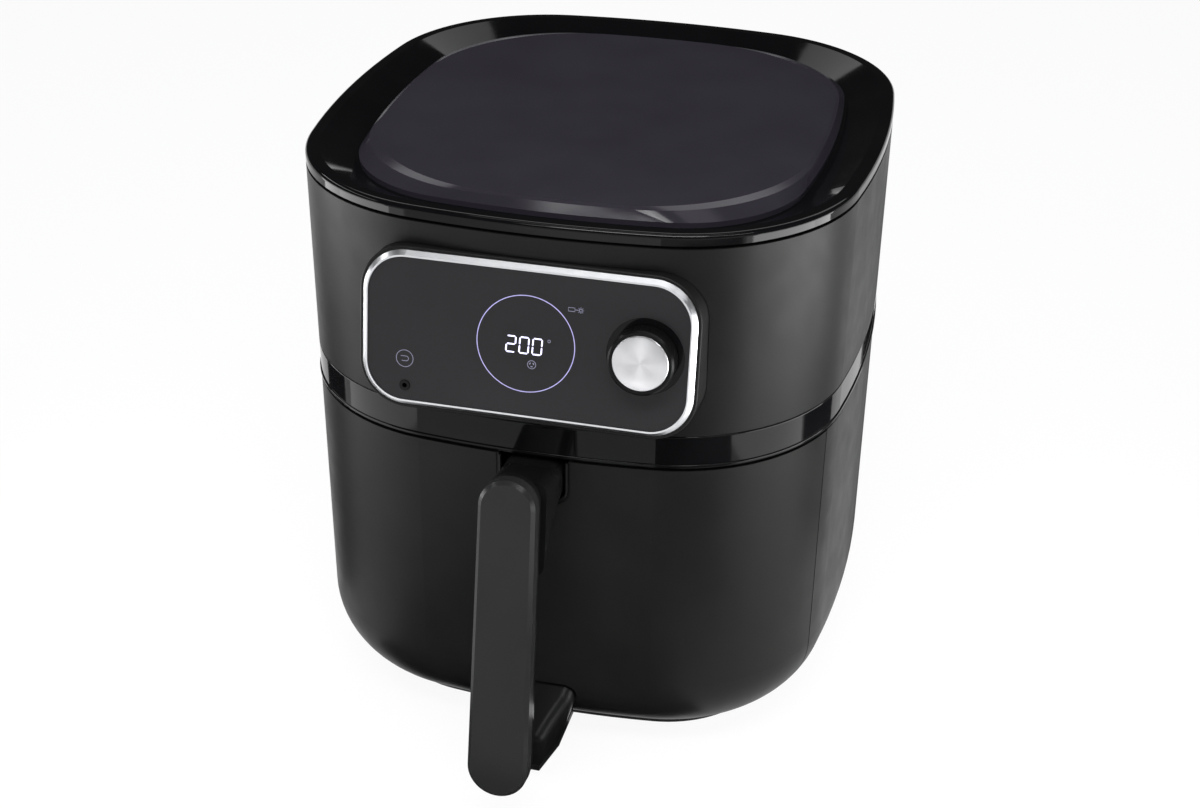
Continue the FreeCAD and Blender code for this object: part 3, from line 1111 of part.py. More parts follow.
def impeller(name, radius, low, height, blades, lean, plate_high):
    """A pressed fan: hub, back plate and a ring of upright leaning blades."""
    bore = "{fan_shaft_radius}"
    top = f"({low} + {height})"
    hub = "{fan_hub_radius}"
    if plate_high:
        plate = f"({top} - {{fan_plate}})"
        profile = [(bore, low), (hub, low), (hub, plate), (radius, plate), (radius, top), (bore, top)]
    else:
        plate = f"({low} + {{fan_plate}})"
        profile = [(bore, low), (radius, low), (radius, plate), (hub, plate), (hub, top), (bore, top)]
    body = revolve(name, profile)
    sketch = new_sketch(body, name + "_blade", "XY_Plane", low)
    inner = "({fan_hub_radius} + {fan_blade_start})"
    outer = f"{radius} - {{fan_blade_edge}}"
    thick = "{fan_blade_thickness}"
    polygon(sketch, [(inner, "0"), (outer, lean), (outer, f"{lean} + {thick}"), (inner, thick)])
    blade = pad(body, sketch, height)
    pattern(body, blade, blades)
    return body


def make_electrics():
    """Power board, temperature sensor, thermal fuse and the switch that the drawer closes."""
    top = S("{chamber_high}")
    left, right = "{power_board_left}", "{power_board_right}"
    front = "{power_board_y} - {power_board_depth} / 2"
    back = "{power_board_y} + {power_board_depth} / 2"
    low = S(f"({top} + {{standoff_height}})")
    board = block("power_slab", left, right, front, back, low, f"{low} + {{board_thickness}}")
    relay_left, relay_front = f"{left} + {{relay_inset}}", f"{front} + {{relay_inset}}"
    relay = block("power_relay", relay_left, f"{relay_left} + {{relay_width}}", relay_front,
                  f"{relay_front} + {{relay_width}}", low, f"{low} + {{relay_height}}")
    coil = cylinder("power_capacitor", f"{right} - {{capacitor_side}}", f"{back} - {{capacitor_end}}", low,
                    f"{low} + {{capacitor_height}}", "{capacitor_radius}")
    span = f"({right} - {left} - {{standoff_inset}} - {{standoff_right}})"
    legs = []
    for i, (u, v) in enumerate(((0, 0), (1, 0), (0, 1), (1, 1))):
        x = f"{left} + {{standoff_inset}} + {u} * {span}"
        y = f"{front} + {{standoff_inset}} + {v} * {{standoff_row}}"
        legs.append(cylinder(f"power_leg_{i}", x, y, top, low, "{standoff_radius}"))
    node(fuse(board, relay, coil, *legs), "power_board")
    stem = cylinder("sensor_stem", "{sensor_x}", "0", f"{top} - {{sensor_drop}}", f"{top} + {{sensor_rise}}",
                    "{sensor_radius}")
    collar = cylinder("sensor_collar", "{sensor_x}", "0", top, f"{top} + {{collar_height}}",
                      "{sensor_radius} + {collar_wall}")
    node(fuse(stem, collar), "temperature_sensor")
    fuse_bar = doc.addObject("Part::Cylinder", "fuse_bar")
    fuse_bar.setExpression("Radius", S("{fuse_radius}"))
    fuse_bar.setExpression("Height", S("{fuse_length}"))
    fuse_end = "vector({fuse_x} + {fuse_length} / 2; {fuse_y}; {chamber_high} + {fuse_radius})"
    fuse_bar.setExpression("Placement", S(f"placement({fuse_end}; rotation(vector(0; 1; 0); -90))"))
    reach = "({fuse_radius} + {fuse_foot})"
    saddle = block("fuse_saddle", "{fuse_x} - {fuse_saddle} / 2", "{fuse_x} + {fuse_saddle} / 2",
                   f"{{fuse_y}} - {reach}", f"{{fuse_y}} + {reach}", top, f"{top} + {{fuse_foot}}")
    node(fuse(fuse_bar, saddle), "thermal_fuse")
    brim_top = S(f"({CHAMBER_LOW} + {{chamber_wall}})")
    switch_back = S("(-{chamber_half_depth} - {switch_gap})")
    switch = block("switch_box", "{switch_x} - {switch_width} / 2", "{switch_x} + {switch_width} / 2",
                   f"{switch_back} - {{switch_depth}}", switch_back, brim_top,
                   f"{brim_top} + {{switch_height}}")
    node(lifted(switch), "drawer_switch")


def make_back():
    """Air outlet grille in the back of the upper housing and the cord's gland low in the back."""
    low, high = S("({band_high} + {grille_low_room})"), S(f"({UPPER_TOP} - {{grille_high_room}})")
    back_half = block("back_half", f"-{HALF_W}", HALF_W, "0", f"{HALF_D} + {{past}}", "0", TOP)

    def skin(name, inset, outline):
        """A curved sheet behind an inset of the back wall, trimmed to an outline."""
        outer = drafted(name + "_outer", low, high, inset)
        inner = drafted(name + "_inner", f"{low} - {{past}}", f"{high} + {{past}}", "{wall} + {grille_rim}")
        return common(common(cut(outer, inner), outline), back_half)

    plug = skin("grille", "0", grille_prism("grille_plug", "0"))
    flange = skin("flange", "{wall} + {fit_gap}", grille_prism("grille_rim", "{grille_flange}"))
    slots = new_body("grille_slots")
    sketch = new_sketch(slots, "grille_slot_outline", "XZ_Plane", f"-({HALF_D} + {{past}})")
    side, first_low = "({grille_half_width} - {grille_bar})", "({grille_low} + {grille_bar})"
    round_rect(sketch, f"-{side}", side, first_low, f"{first_low} + {{grille_slot}}", "{grille_slot_round}")
    first = pad(slots, sketch, "{cut_depth}")
    line = slots.newObject("PartDesign::LinearPattern", "grille_rows")
    line.Originals = [first]
    line.Direction = (next(f for f in slots.Origin.OriginFeatures if f.Role == "Z_Axis"), [""])
    count = "floor(({grille_high} - {grille_low} - {grille_bar}) / ({grille_slot} + {grille_bar}))"
    line.setExpression("Occurrences", S(count))
    line.setExpression("Length", S(f"({count} - 1) * ({{grille_slot}} + {{grille_bar}})"))
    slots.Tip = line
    node(cut(fuse(plug, flange), slots), "outlet_grille")

    lip_top = S("({gland_length} + {gland_lip_height})")
    nose_top = S(f"({lip_top} + {{gland_nose}})")
    gland = revolve("gland_form", [
        ("{gland_bore}", "0"), ("{gland_radius} - {fit_gap}", "0"),
        ("{gland_radius} - {fit_gap}", "{gland_length}"),
        ("{gland_radius} + {gland_lip}", "{gland_length}"), ("{gland_radius} + {gland_lip}", lip_top),
        ("{gland_nose_radius}", nose_top), ("{gland_bore}", nose_top)])
    wall_bow = f"({{front_bow}} - {inset_at('{gland_height}')})"
    reach = S(f"(sqrt({wall_bow} ^ 2 - ({{gland_x}} + {{gland_radius}}) ^ 2) - {{front_bow}} + {HALF_D}"
              " + {fit_gap} + {gland_stand} - {gland_length})")
    gland_spot = f"vector({{gland_x}}; {reach}; {{gland_height}})"
    gland.setExpression("Placement", S(f"placement({gland_spot}; rotation(vector(1; 0; 0); -90))"))
    node(lifted(gland), "cord_gland")


make_top_cover()
make_top_pad()
make_upper_housing()
make_gloss_band()
make_lower()
make_base()
make_panel()
make_knob()
make_probe_jack()
make_drawer()
make_handle()
make_liner()
make_chamber()
make_motor()
make_electrics()
make_back()
doc.recompute()

faults = [f"{item.Name} {item.State}" for item in doc.Objects if {"Invalid", "Error"} & set(item.State)]
for piece in NODES:
    if piece.Shape.isNull() or not piece.Shape.isValid() or not piece.Shape.Solids:
        faults.append(f"{piece.Label} has no valid shape")
if faults:
    raise RuntimeError("; ".join(faults))
os.makedirs("parts", exist_ok=True)
for piece in NODES:
    piece.Shape.exportStep(f"parts/{piece.Label}.step")
    box = piece.Shape.BoundBox
    print(f"{piece.Label}: {len(piece.Shape.Solids)} solid, volume {piece.Shape.Volume:.0f}, "
          f"x {box.XMin:.1f} {box.XMax:.1f} y {box.YMin:.1f} {box.YMax:.1f} z {box.ZMin:.1f} {box.ZMax:.1f}")
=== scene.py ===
"""Looks for the air fryer: materials, lit signs on the panel, spun knob cap, floor, light and camera."""
import bpy
import bmesh
import math
from mathutils import Matrix, Vector


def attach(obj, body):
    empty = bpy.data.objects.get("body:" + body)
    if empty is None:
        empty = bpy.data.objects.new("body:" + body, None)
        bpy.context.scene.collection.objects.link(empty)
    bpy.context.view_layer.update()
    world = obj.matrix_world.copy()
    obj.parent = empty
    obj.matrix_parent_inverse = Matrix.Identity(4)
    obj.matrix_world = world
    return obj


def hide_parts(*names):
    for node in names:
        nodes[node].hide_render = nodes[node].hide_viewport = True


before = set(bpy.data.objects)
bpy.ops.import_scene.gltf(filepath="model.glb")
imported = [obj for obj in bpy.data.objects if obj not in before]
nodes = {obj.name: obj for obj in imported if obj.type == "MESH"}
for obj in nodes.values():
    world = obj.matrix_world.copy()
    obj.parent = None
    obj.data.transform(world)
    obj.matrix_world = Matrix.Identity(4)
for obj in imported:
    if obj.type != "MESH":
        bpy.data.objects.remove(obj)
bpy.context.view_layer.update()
MM = 0.001

# the control panel's own frame: x to the right, v up the leaning glass, w out of it
PANEL_MIDDLE = Vector((0, -138.5 * MM, 270.2 * MM))
PANEL_LEAN = math.radians(8.5)
KNOB_X = 62.9 * MM
KNOB_V = 1.4 * MM
PANEL = Matrix.Translation(PANEL_MIDDLE) @ Matrix.Rotation(math.pi / 2 - PANEL_LEAN, 4, "X")


# helpers for materials, with sizes in metres
NOISE_LOW = 0.3
NOISE_HIGH = 0.7
TONE_PATCH = 0.05
SHEEN_PATCH = 0.018
GRAIN_STRENGTH = 0.35
METAL_PATCH = 0.012
BRUSH_SHEEN = 0.002
BRUSH_LINE = 0.0015
BRUSH_DEPTH = 0.00002
BRUSH_STRENGTH = 0.2


def material(name, colour, roughness, metallic=0.0, specular=0.5):
    """A new principled material and its shader node."""
    made = bpy.data.materials.new(name)
    made.use_nodes = True
    shader = made.node_tree.nodes["Principled BSDF"]
    shader.inputs["Base Color"].default_value = (*colour, 1)
    shader.inputs["Roughness"].default_value = roughness
    shader.inputs["Metallic"].default_value = metallic
    shader.inputs["Specular IOR Level"].default_value = specular
    return made, shader


def place(made, stretch=(1, 1, 1)):
    """The piece's own coordinates in metres, stretched along each axis."""
    tree = made.node_tree
    spot = tree.nodes.new("ShaderNodeTexCoord")
    scale = tree.nodes.new("ShaderNodeMapping")
    scale.inputs["Scale"].default_value = stretch
    tree.links.new(spot.outputs["Object"], scale.inputs["Vector"])
    return scale.outputs["Vector"]


def noise(made, size, detail=2.0, stretch=(1, 1, 1)):
    """A noise whose patches are about size metres across."""
    tree = made.node_tree
    made_noise = tree.nodes.new("ShaderNodeTexNoise")
    made_noise.inputs["Scale"].default_value = 1 / size
    made_noise.inputs["Detail"].default_value = detail
    tree.links.new(place(made, stretch), made_noise.inputs["Vector"])
    return made_noise.outputs["Fac"]


def vary(made, socket, low, high, source):
    """Let a noise drive a shader number from low to high."""
    tree = made.node_tree
    spread = tree.nodes.new("ShaderNodeMapRange")
    spread.inputs["From Min"].default_value = NOISE_LOW
    spread.inputs["From Max"].default_value = NOISE_HIGH
    spread.inputs["To Min"].default_value = low
    spread.inputs["To Max"].default_value = high
    tree.links.new(source, spread.inputs["Value"])
    tree.links.new(spread.outputs["Result"], socket)


def tint(made, shader, dark, light, source):
    """Let a source mix the base colour between a dark and a light tone."""
    tree = made.node_tree
    ramp = tree.nodes.new("ShaderNodeValToRGB")
    ramp.color_ramp.elements[0].position = NOISE_LOW
    ramp.color_ramp.elements[0].color = (*dark, 1)
    ramp.color_ramp.elements[1].position = NOISE_HIGH
    ramp.color_ramp.elements[1].color = (*light, 1)
    tree.links.new(source, ramp.inputs["Fac"])
    tree.links.new(ramp.outputs["Color"], shader.inputs["Base Color"])


def bump(made, shader, strength, depth, source):
    """Let a source raise the surface by up to depth metres."""
    tree = made.node_tree
    raised = tree.nodes.new("ShaderNodeBump")
    raised.inputs["Strength"].default_value = strength
    raised.inputs["Distance"].default_value = depth
    tree.links.new(source, raised.inputs["Height"])
    tree.links.new(raised.outputs["Normal"], shader.inputs["Normal"])


def plastic(name, dark, light, smooth, rough, grain, grain_depth, specular):
    """Moulded plastic: slow changes of tone and sheen over a fine moulded grain."""
    made, shader = material(name, dark, rough, specular=specular)
    tint(made, shader, dark, light, noise(made, TONE_PATCH))
    vary(made, shader.inputs["Roughness"], smooth, rough, noise(made, SHEEN_PATCH, 4))
    bump(made, shader, GRAIN_STRENGTH, grain_depth, noise(made, grain, 3))
    return made


def metal(name, dark, light, smooth, rough, brush):
    """Metal with fine brushed lines along the direction in which brush is smallest."""
    made, shader = material(name, light, rough, metallic=1.0)
    tint(made, shader, dark, light, noise(made, METAL_PATCH, 3))
    vary(made, shader.inputs["Roughness"], smooth, rough, noise(made, BRUSH_SHEEN, 3, brush))
    bump(made, shader, BRUSH_STRENGTH, BRUSH_DEPTH, noise(made, BRUSH_LINE, 2, brush))
    return made


GLOSS = plastic("gloss_black", (0.0028, 0.0028, 0.0032), (0.0042, 0.0042, 0.0046),
                smooth=0.05, rough=0.09, grain=0.004, grain_depth=0.000004, specular=0.17)
SATIN = plastic("satin_black", (0.0075, 0.0075, 0.0074), (0.0095, 0.0095, 0.0092),
                smooth=0.36, rough=0.44, grain=0.0006, grain_depth=0.00003, specular=0.12)
GRIP = plastic("grip_black", (0.0165, 0.0165, 0.017), (0.0195, 0.0195, 0.02),
               smooth=0.2, rough=0.26, grain=0.0005, grain_depth=0.00002, specular=0.14)
POLISH = plastic("polished_black", (0.0055, 0.0055, 0.0056), (0.0075, 0.0075, 0.0076),
                 smooth=0.12, rough=0.18, grain=0.003, grain_depth=0.000004, specular=0.17)
FOOT = plastic("foot_black", (0.004, 0.004, 0.0041), (0.0055, 0.0055, 0.0056),
               smooth=0.34, rough=0.42, grain=0.0006, grain_depth=0.00002, specular=0.12)
KNOB = plastic("knob_black", (0.003, 0.003, 0.0032), (0.0044, 0.0044, 0.0046),
               smooth=0.24, rough=0.32, grain=0.0006, grain_depth=0.00001, specular=0.12)
PAD = plastic("pad_black", (0.023, 0.0205, 0.027), (0.027, 0.0245, 0.032),
              smooth=0.11, rough=0.16, grain=0.0009, grain_depth=0.000005, specular=0.17)
LENS = plastic("lens_smoke", (0.0165, 0.016, 0.0172), (0.0192, 0.0187, 0.02),
               smooth=0.2, rough=0.26, grain=0.003, grain_depth=0.000003, specular=0.16)
RUBBER = plastic("rubber_black", (0.012, 0.012, 0.012), (0.018, 0.018, 0.018),
                 smooth=0.7, rough=0.82, grain=0.0012, grain_depth=0.00008, specular=0.3)
COATED = plastic("coated_metal", (0.018, 0.018, 0.019), (0.026, 0.026, 0.027),
                 smooth=0.3, rough=0.45, grain=0.0008, grain_depth=0.00006, specular=0.5)
BOARD = plastic("circuit_green", (0.01, 0.07, 0.03), (0.015, 0.1, 0.045),
                smooth=0.35, rough=0.5, grain=0.002, grain_depth=0.00003, specular=0.5)
WHITE = plastic("light_white", (0.62, 0.61, 0.68), (0.7, 0.69, 0.76),
                smooth=0.4, rough=0.5, grain=0.003, grain_depth=0.00002, specular=0.5)
SILVER = metal("bezel_silver", (0.7, 0.71, 0.73), (0.78, 0.79, 0.81),
               smooth=0.28, rough=0.36, brush=(1, 1, 1))
STEEL = metal("bare_steel", (0.5, 0.5, 0.51), (0.6, 0.6, 0.61),
              smooth=0.25, rough=0.4, brush=(0.1, 1, 1))

FINISH = {
    "top_cover": GLOSS, "gloss_band": GLOSS, "probe_socket": GLOSS, "knob_ring": GLOSS, "knob_body": KNOB,
    "top_pad": PAD, "panel_lens": LENS, "panel_bezel": SILVER,
    "rubber_feet": RUBBER, "cord_gland": RUBBER, "pan": COATED, "basket": COATED, "mesh_plate": COATED,
    "grip_front": GRIP, "grip_back": POLISH, "handle_arm": POLISH, "front_foot": FOOT,
    "control_board": BOARD, "power_board": BOARD,
    "display_module": WHITE, "light_ring": WHITE, "thermal_fuse": WHITE,
    "base_screws": STEEL, "rotary_encoder": STEEL, "encoder_plunger": STEEL, "knob_shaft": STEEL,
    "heat_chamber": STEEL, "heating_element": STEEL, "motor_bracket": STEEL,
    "fan_motor": STEEL, "fan_shaft": STEEL, "fan_nut": STEEL, "convection_fan": STEEL,
}
for name, piece in nodes.items():
    piece.data.materials.clear()
    piece.data.materials.append(FINISH.get(name, SATIN))


# the lit signs on the glass, with sizes in millimetres
LIT_SPREAD = 0.06
LIT_PATCH = 0.004


def lit(name, colour, strength):
    """A softly uneven lit sign."""
    made, shader = material(name, colour, 0.4)
    shader.inputs["Emission Color"].default_value = (*colour, 1)
    dim, bright = strength * (1 - LIT_SPREAD), strength * (1 + LIT_SPREAD)
    vary(made, shader.inputs["Emission Strength"], dim, bright, noise(made, LIT_PATCH))
    return made


class Sign:
    """A flat sign on the glass, drawn from strokes in millimetres."""

    def __init__(self, name, look):
        self.name = name
        self.look = look
        self.mesh = bmesh.new()

    def face(self, points):
        self.mesh.faces.new([self.mesh.verts.new((x * MM, y * MM, 0)) for x, y in points])

    def stroke(self, points, width, closed=False):
        """A band of even width along a line of points."""
        count = len(points)
        sides = []
        for i, (x, y) in enumerate(points):
            before = points[i - 1] if closed or i else points[i]
            after = points[(i + 1) % count] if closed or i < count - 1 else points[i]
            along = Vector((after[0] - before[0], after[1] - before[1])).normalized()
            across = Vector((-along.y, along.x)) * width / 2
            sides.append(((x + across.x, y + across.y), (x - across.x, y - across.y)))
        for i in range(count if closed else count - 1):
            near, far = sides[i], sides[(i + 1) % count]
            self.face([near[1], far[1], far[0], near[0]])

    def ring(self, x, y, radius, width, start=0, end=360, steps=96):
        turn = [math.radians(start + (end - start) * i / steps) for i in range(steps + 1)]
        whole = end - start == 360
        points = [(x + radius * math.cos(a), y + radius * math.sin(a)) for a in turn[:-1 if whole else None]]
        self.stroke(points, width, whole)

    def build(self, lift=0.08):
        shape = bpy.data.meshes.new(self.name)
        self.mesh.to_mesh(shape)
        self.mesh.free()
        shape.materials.append(self.look)
        piece = bpy.data.objects.new(self.name, shape)
        bpy.context.scene.collection.objects.link(piece)
        piece.matrix_world = PANEL @ Matrix.Translation((0, 0, lift * MM))
        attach(piece, "housing")
        return piece


DIGIT_LIGHT = lit("digit_light", (0.72, 0.7, 0.95), 1.0)
RING_LIGHT = lit("ring_light", (0.26, 0.245, 0.45), 1.0)
ICON_LIGHT = lit("icon_light", (0.12, 0.12, 0.17), 1.0)

SEGMENTS = {"2": "abged", "0": "abcdef"}
DIGIT_WIDTH = 5.6
DIGIT_HEIGHT = 9.4
DIGIT_PITCH = 7.0
DIGIT_STROKE = 0.82
DIGIT_SLANT = 0.05
SEGMENT_GAP = 0.18


def digit(sign, figure, x, y):
    """One seven-segment figure, its middle at x, y."""
    half_w = (DIGIT_WIDTH - DIGIT_STROKE) / 2
    half_h = (DIGIT_HEIGHT - DIGIT_STROKE) / 2
    ends = {"a": ((-half_w, half_h), (half_w, half_h)), "b": ((half_w, half_h), (half_w, 0)),
            "c": ((half_w, 0), (half_w, -half_h)), "d": ((-half_w, -half_h), (half_w, -half_h)),
            "e": ((-half_w, -half_h), (-half_w, 0)), "f": ((-half_w, 0), (-half_w, half_h)),
            "g": ((-half_w, 0), (half_w, 0))}
    for bar in SEGMENTS[figure]:
        first, last = (Vector(end) for end in ends[bar])
        along = (last - first).normalized()
        across = Vector((-along.y, along.x)) * DIGIT_STROKE / 2
        first = first + along * SEGMENT_GAP
        last = last - along * SEGMENT_GAP
        tip = along * DIGIT_STROKE / 2
        outline = [first, first + tip - across, last - tip - across,
                   last, last - tip + across, first + tip + across]
        sign.face([(x + p.x + p.y * DIGIT_SLANT, y + p.y) for p in outline])


FIGURE_X = -0.8
FIGURE_V = -0.8
figures = Sign("display_figures", DIGIT_LIGHT)
for i, figure in enumerate("200"):
    digit(figures, figure, FIGURE_X + (i - 1) * DIGIT_PITCH, FIGURE_V)
figures.build()

RING_RADIUS = 26
RING_LINE = 0.45
halo = Sign("display_ring", RING_LIGHT)
halo.ring(0, 0, RING_RADIUS, RING_LINE, steps=160)
halo.build()

# a degree mark beside the figures, and a small fan under them
FINE_LINE = 0.34
UNIT_X = 12.4
UNIT_V = 3.0
UNIT_RADIUS = 0.7
FAN_X = 3.6
FAN_V = -10.8
FAN_RADIUS = 2.2
BLADES = 3
BLADE_TURN = 360 / BLADES
BLADE_SWEEP = 60
BLADE_RADIUS = FAN_RADIUS * 0.5
BLADE_LINE = FINE_LINE * 1.6
status = Sign("status_icons", ICON_LIGHT)
status.ring(UNIT_X, UNIT_V, UNIT_RADIUS, FINE_LINE, steps=24)
status.ring(FAN_X, FAN_V, FAN_RADIUS, FINE_LINE, steps=40)
for blade in range(BLADES):
    start = blade * BLADE_TURN
    status.ring(FAN_X, FAN_V, BLADE_RADIUS, BLADE_LINE, start, start + BLADE_SWEEP, 10)

# a small plug beside a sun, outside the ring
PLUG_X = 23.5
PLUG_V = 21.5
PLUG_HALF_WIDTH = 1.7
PLUG_HALF_HEIGHT = 0.95
SUN_X = 28.3
SUN_RADIUS = 0.8
SUN_RAYS = 8
RAY_START = SUN_RADIUS * 1.5
RAY_END = SUN_RADIUS * 2.1
corners = ((-1, -1), (1, -1), (1, 1), (-1, 1))
plug = [(PLUG_X + i * PLUG_HALF_WIDTH, PLUG_V + j * PLUG_HALF_HEIGHT) for i, j in corners]
status.stroke(plug, FINE_LINE, closed=True)
status.stroke([(PLUG_X + PLUG_HALF_WIDTH, PLUG_V), (SUN_X - 2 * SUN_RADIUS, PLUG_V)], FINE_LINE)
status.ring(SUN_X, PLUG_V, SUN_RADIUS, FINE_LINE, steps=24)
for i in range(SUN_RAYS):
    turn = 2 * math.pi * i / SUN_RAYS
    ray = Vector((math.cos(turn), math.sin(turn)))
    near = ray * RAY_START
    far = ray * RAY_END
    status.stroke([(SUN_X + near.x, PLUG_V + near.y), (SUN_X + far.x, PLUG_V + far.y)], FINE_LINE)
status.build()

# a touch mark with a return arrow
TOUCH_X = -65
TOUCH_V = -16.2
TOUCH_RADIUS = 4.6
ARROW_HALF = 1.3
ARROW_END = TOUCH_X + 0.8
ARROW_HIGH = TOUCH_V + ARROW_HALF
ARROW_LOW = TOUCH_V - ARROW_HALF
ARROW_HIGH_START = TOUCH_X - 2.2
ARROW_LOW_START = TOUCH_X - 1.6
touch = Sign("touch_icon", ICON_LIGHT)
touch.ring(TOUCH_X, TOUCH_V, TOUCH_RADIUS, FINE_LINE)
touch.stroke([(ARROW_HIGH_START, ARROW_HIGH), (ARROW_END, ARROW_HIGH)], FINE_LINE)
touch.ring(ARROW_END, TOUCH_V, ARROW_HALF, FINE_LINE, -90, 90, 24)
touch.stroke([(ARROW_END, ARROW_LOW), (ARROW_LOW_START, ARROW_LOW)], FINE_LINE)
touch.build()


# the spun cap of the knob, turned about its own axis, with sizes in millimetres
CAP_RADIUS = 14.65
CAP_LOW = 10.6
CAP_RIM = 11.85
CAP_SHOULDER = 12.2
CAP_CROWN = 12.28
CAP_HALFWAY = 12.18
CAP_MIDDLE = 12.1
CAP_EDGE = 0.7
SPIN_STEPS = 128
SHARP_ANGLE = math.radians(20)
RINGS_SCALE = 900
RINGS_WANDER = 1.5


def spun_cap():
    """A slightly dished disc with a bright turned edge, seated where the plain cap is."""
    profile = [(0, CAP_MIDDLE), (CAP_RADIUS / 2, CAP_HALFWAY), (CAP_RADIUS - CAP_EDGE, CAP_CROWN),
               (CAP_RADIUS - CAP_EDGE / 2, CAP_SHOULDER), (CAP_RADIUS, CAP_RIM),
               (CAP_RADIUS, CAP_LOW), (0, CAP_LOW)]
    turned = bmesh.new()
    line = [turned.verts.new((r * MM, 0, z * MM)) for r, z in profile]
    for a, b in zip(line, line[1:]):
        turned.edges.new((a, b))
    bmesh.ops.spin(turned, geom=turned.verts[:] + turned.edges[:], axis=(0, 0, 1), cent=(0, 0, 0),
                   angle=2 * math.pi, steps=SPIN_STEPS)
    bmesh.ops.remove_doubles(turned, verts=turned.verts, dist=1e-6)
    bmesh.ops.recalc_face_normals(turned, faces=turned.faces)
    shape = bpy.data.meshes.new("spun_cap")
    turned.to_mesh(shape)
    turned.free()
    shape.shade_smooth()
    shape.set_sharp_from_angle(angle=SHARP_ANGLE)
    made, shader = material("knob_metal", (0.74, 0.74, 0.76), 0.3, metallic=1.0)
    shader.inputs["Anisotropic"].default_value = 0.85
    tree = made.node_tree
    around = tree.nodes.new("ShaderNodeTangent")
    around.direction_type = "RADIAL"
    around.axis = "Z"
    tree.links.new(around.outputs["Tangent"], shader.inputs["Tangent"])
    rings = tree.nodes.new("ShaderNodeTexWave")
    rings.wave_type = "RINGS"
    rings.rings_direction = "Z"
    rings.inputs["Scale"].default_value = RINGS_SCALE
    rings.inputs["Distortion"].default_value = RINGS_WANDER
    tree.links.new(place(made), rings.inputs["Vector"])
    vary(made, shader.inputs["Roughness"], 0.24, 0.34, rings.outputs["Fac"])
    shape.materials.append(made)
    piece = bpy.data.objects.new("spun_cap", shape)
    bpy.context.scene.collection.objects.link(piece)
    piece.matrix_world = PANEL @ Matrix.Translation((KNOB_X, KNOB_V, 0))
    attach(piece, "knob")
    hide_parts("knob_cap")
    return piece


spun_cap()


# the thin lip inside the slot that the handle's arm goes through, with sizes in millimetres
LIP_HALF_WIDTH = 18.5
LIP_LOW = 171.0
LIP_HIGH = 195.2
LIP_FRONT = -126.4
LIP_CORNER = 7.0
LIP_RADIUS = 0.8
LIP_STEPS = 12


def slot_lip(side):
    """A round bead down one side of the slot and round its lower corner."""
    path = [(LIP_HALF_WIDTH, LIP_HIGH)]
    for i in range(LIP_STEPS + 1):
        turn = math.pi / 2 * i / LIP_STEPS
        across = LIP_HALF_WIDTH - LIP_CORNER + LIP_CORNER * math.cos(turn)
        path.append((across, LIP_LOW + LIP_CORNER - LIP_CORNER * math.sin(turn)))
    data = bpy.data.curves.new("slot_lip", "CURVE")
    data.dimensions = "3D"
    data.bevel_depth = LIP_RADIUS * MM
    data.bevel_resolution = 4
    data.use_fill_caps = True
    line = data.splines.new("POLY")
    line.points.add(len(path) - 1)
    for point, (x, z) in zip(line.points, path):
        point.co = (side * x * MM, LIP_FRONT * MM, z * MM, 1)
    data.materials.append(POLISH)
    piece = bpy.data.objects.new("slot_lip_right" if side > 0 else "slot_lip_left", data)
    bpy.context.scene.collection.objects.link(piece)
    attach(piece, "drawer")


for side in (-1, 1):
    slot_lip(side)


# floor, light and camera, with sizes in metres
FLOOR_REACH = 30
FLOOR_WHITE = 0.92
FILL_STRENGTH = 0.35
HORIZON_LOW = 0.02
HORIZON_HIGH = 0.08
SKY_STRENGTH = 0.02
CARD_LIFT = 0.002


def background(tree):
    """One for the rays that show the background: from the camera, a mirror or a glass."""
    rays = tree.nodes.new("ShaderNodeLightPath")
    first = tree.nodes.new("ShaderNodeMath")
    first.operation = "MAXIMUM"
    tree.links.new(rays.outputs["Is Camera Ray"], first.inputs[0])
    tree.links.new(rays.outputs["Is Glossy Ray"], first.inputs[1])
    both = tree.nodes.new("ShaderNodeMath")
    both.operation = "MAXIMUM"
    tree.links.new(first.outputs["Value"], both.inputs[0])
    tree.links.new(rays.outputs["Is Transmission Ray"], both.inputs[1])
    return both.outputs["Value"]


def make_floor():
    """A pale floor that shows white, with the object's soft shadow on it."""
    shape = bpy.data.meshes.new("floor")
    ends = ((-1, -1), (1, -1), (1, 1), (-1, 1))
    shape.from_pydata([(i * FLOOR_REACH, j * FLOOR_REACH, 0) for i, j in ends], [], [(0, 1, 2, 3)])
    floor = bpy.data.objects.new("floor", shape)
    bpy.context.scene.collection.objects.link(floor)
    made, shader = material("floor", (0.95, 0.95, 0.95), 0.9, specular=0.0)
    tree = made.node_tree
    glow = tree.nodes.new("ShaderNodeEmission")
    glow.inputs["Strength"].default_value = 1.0
    mix = tree.nodes.new("ShaderNodeMixShader")
    part = tree.nodes.new("ShaderNodeMath")
    part.operation = "MULTIPLY"
    part.inputs[1].default_value = FLOOR_WHITE
    tree.links.new(background(tree), part.inputs[0])
    tree.links.new(part.outputs["Value"], mix.inputs["Fac"])
    tree.links.new(shader.outputs["BSDF"], mix.inputs[1])
    tree.links.new(glow.outputs["Emission"], mix.inputs[2])
    tree.links.new(mix.outputs["Shader"], tree.nodes["Material Output"].inputs["Surface"])
    shape.materials.append(made)


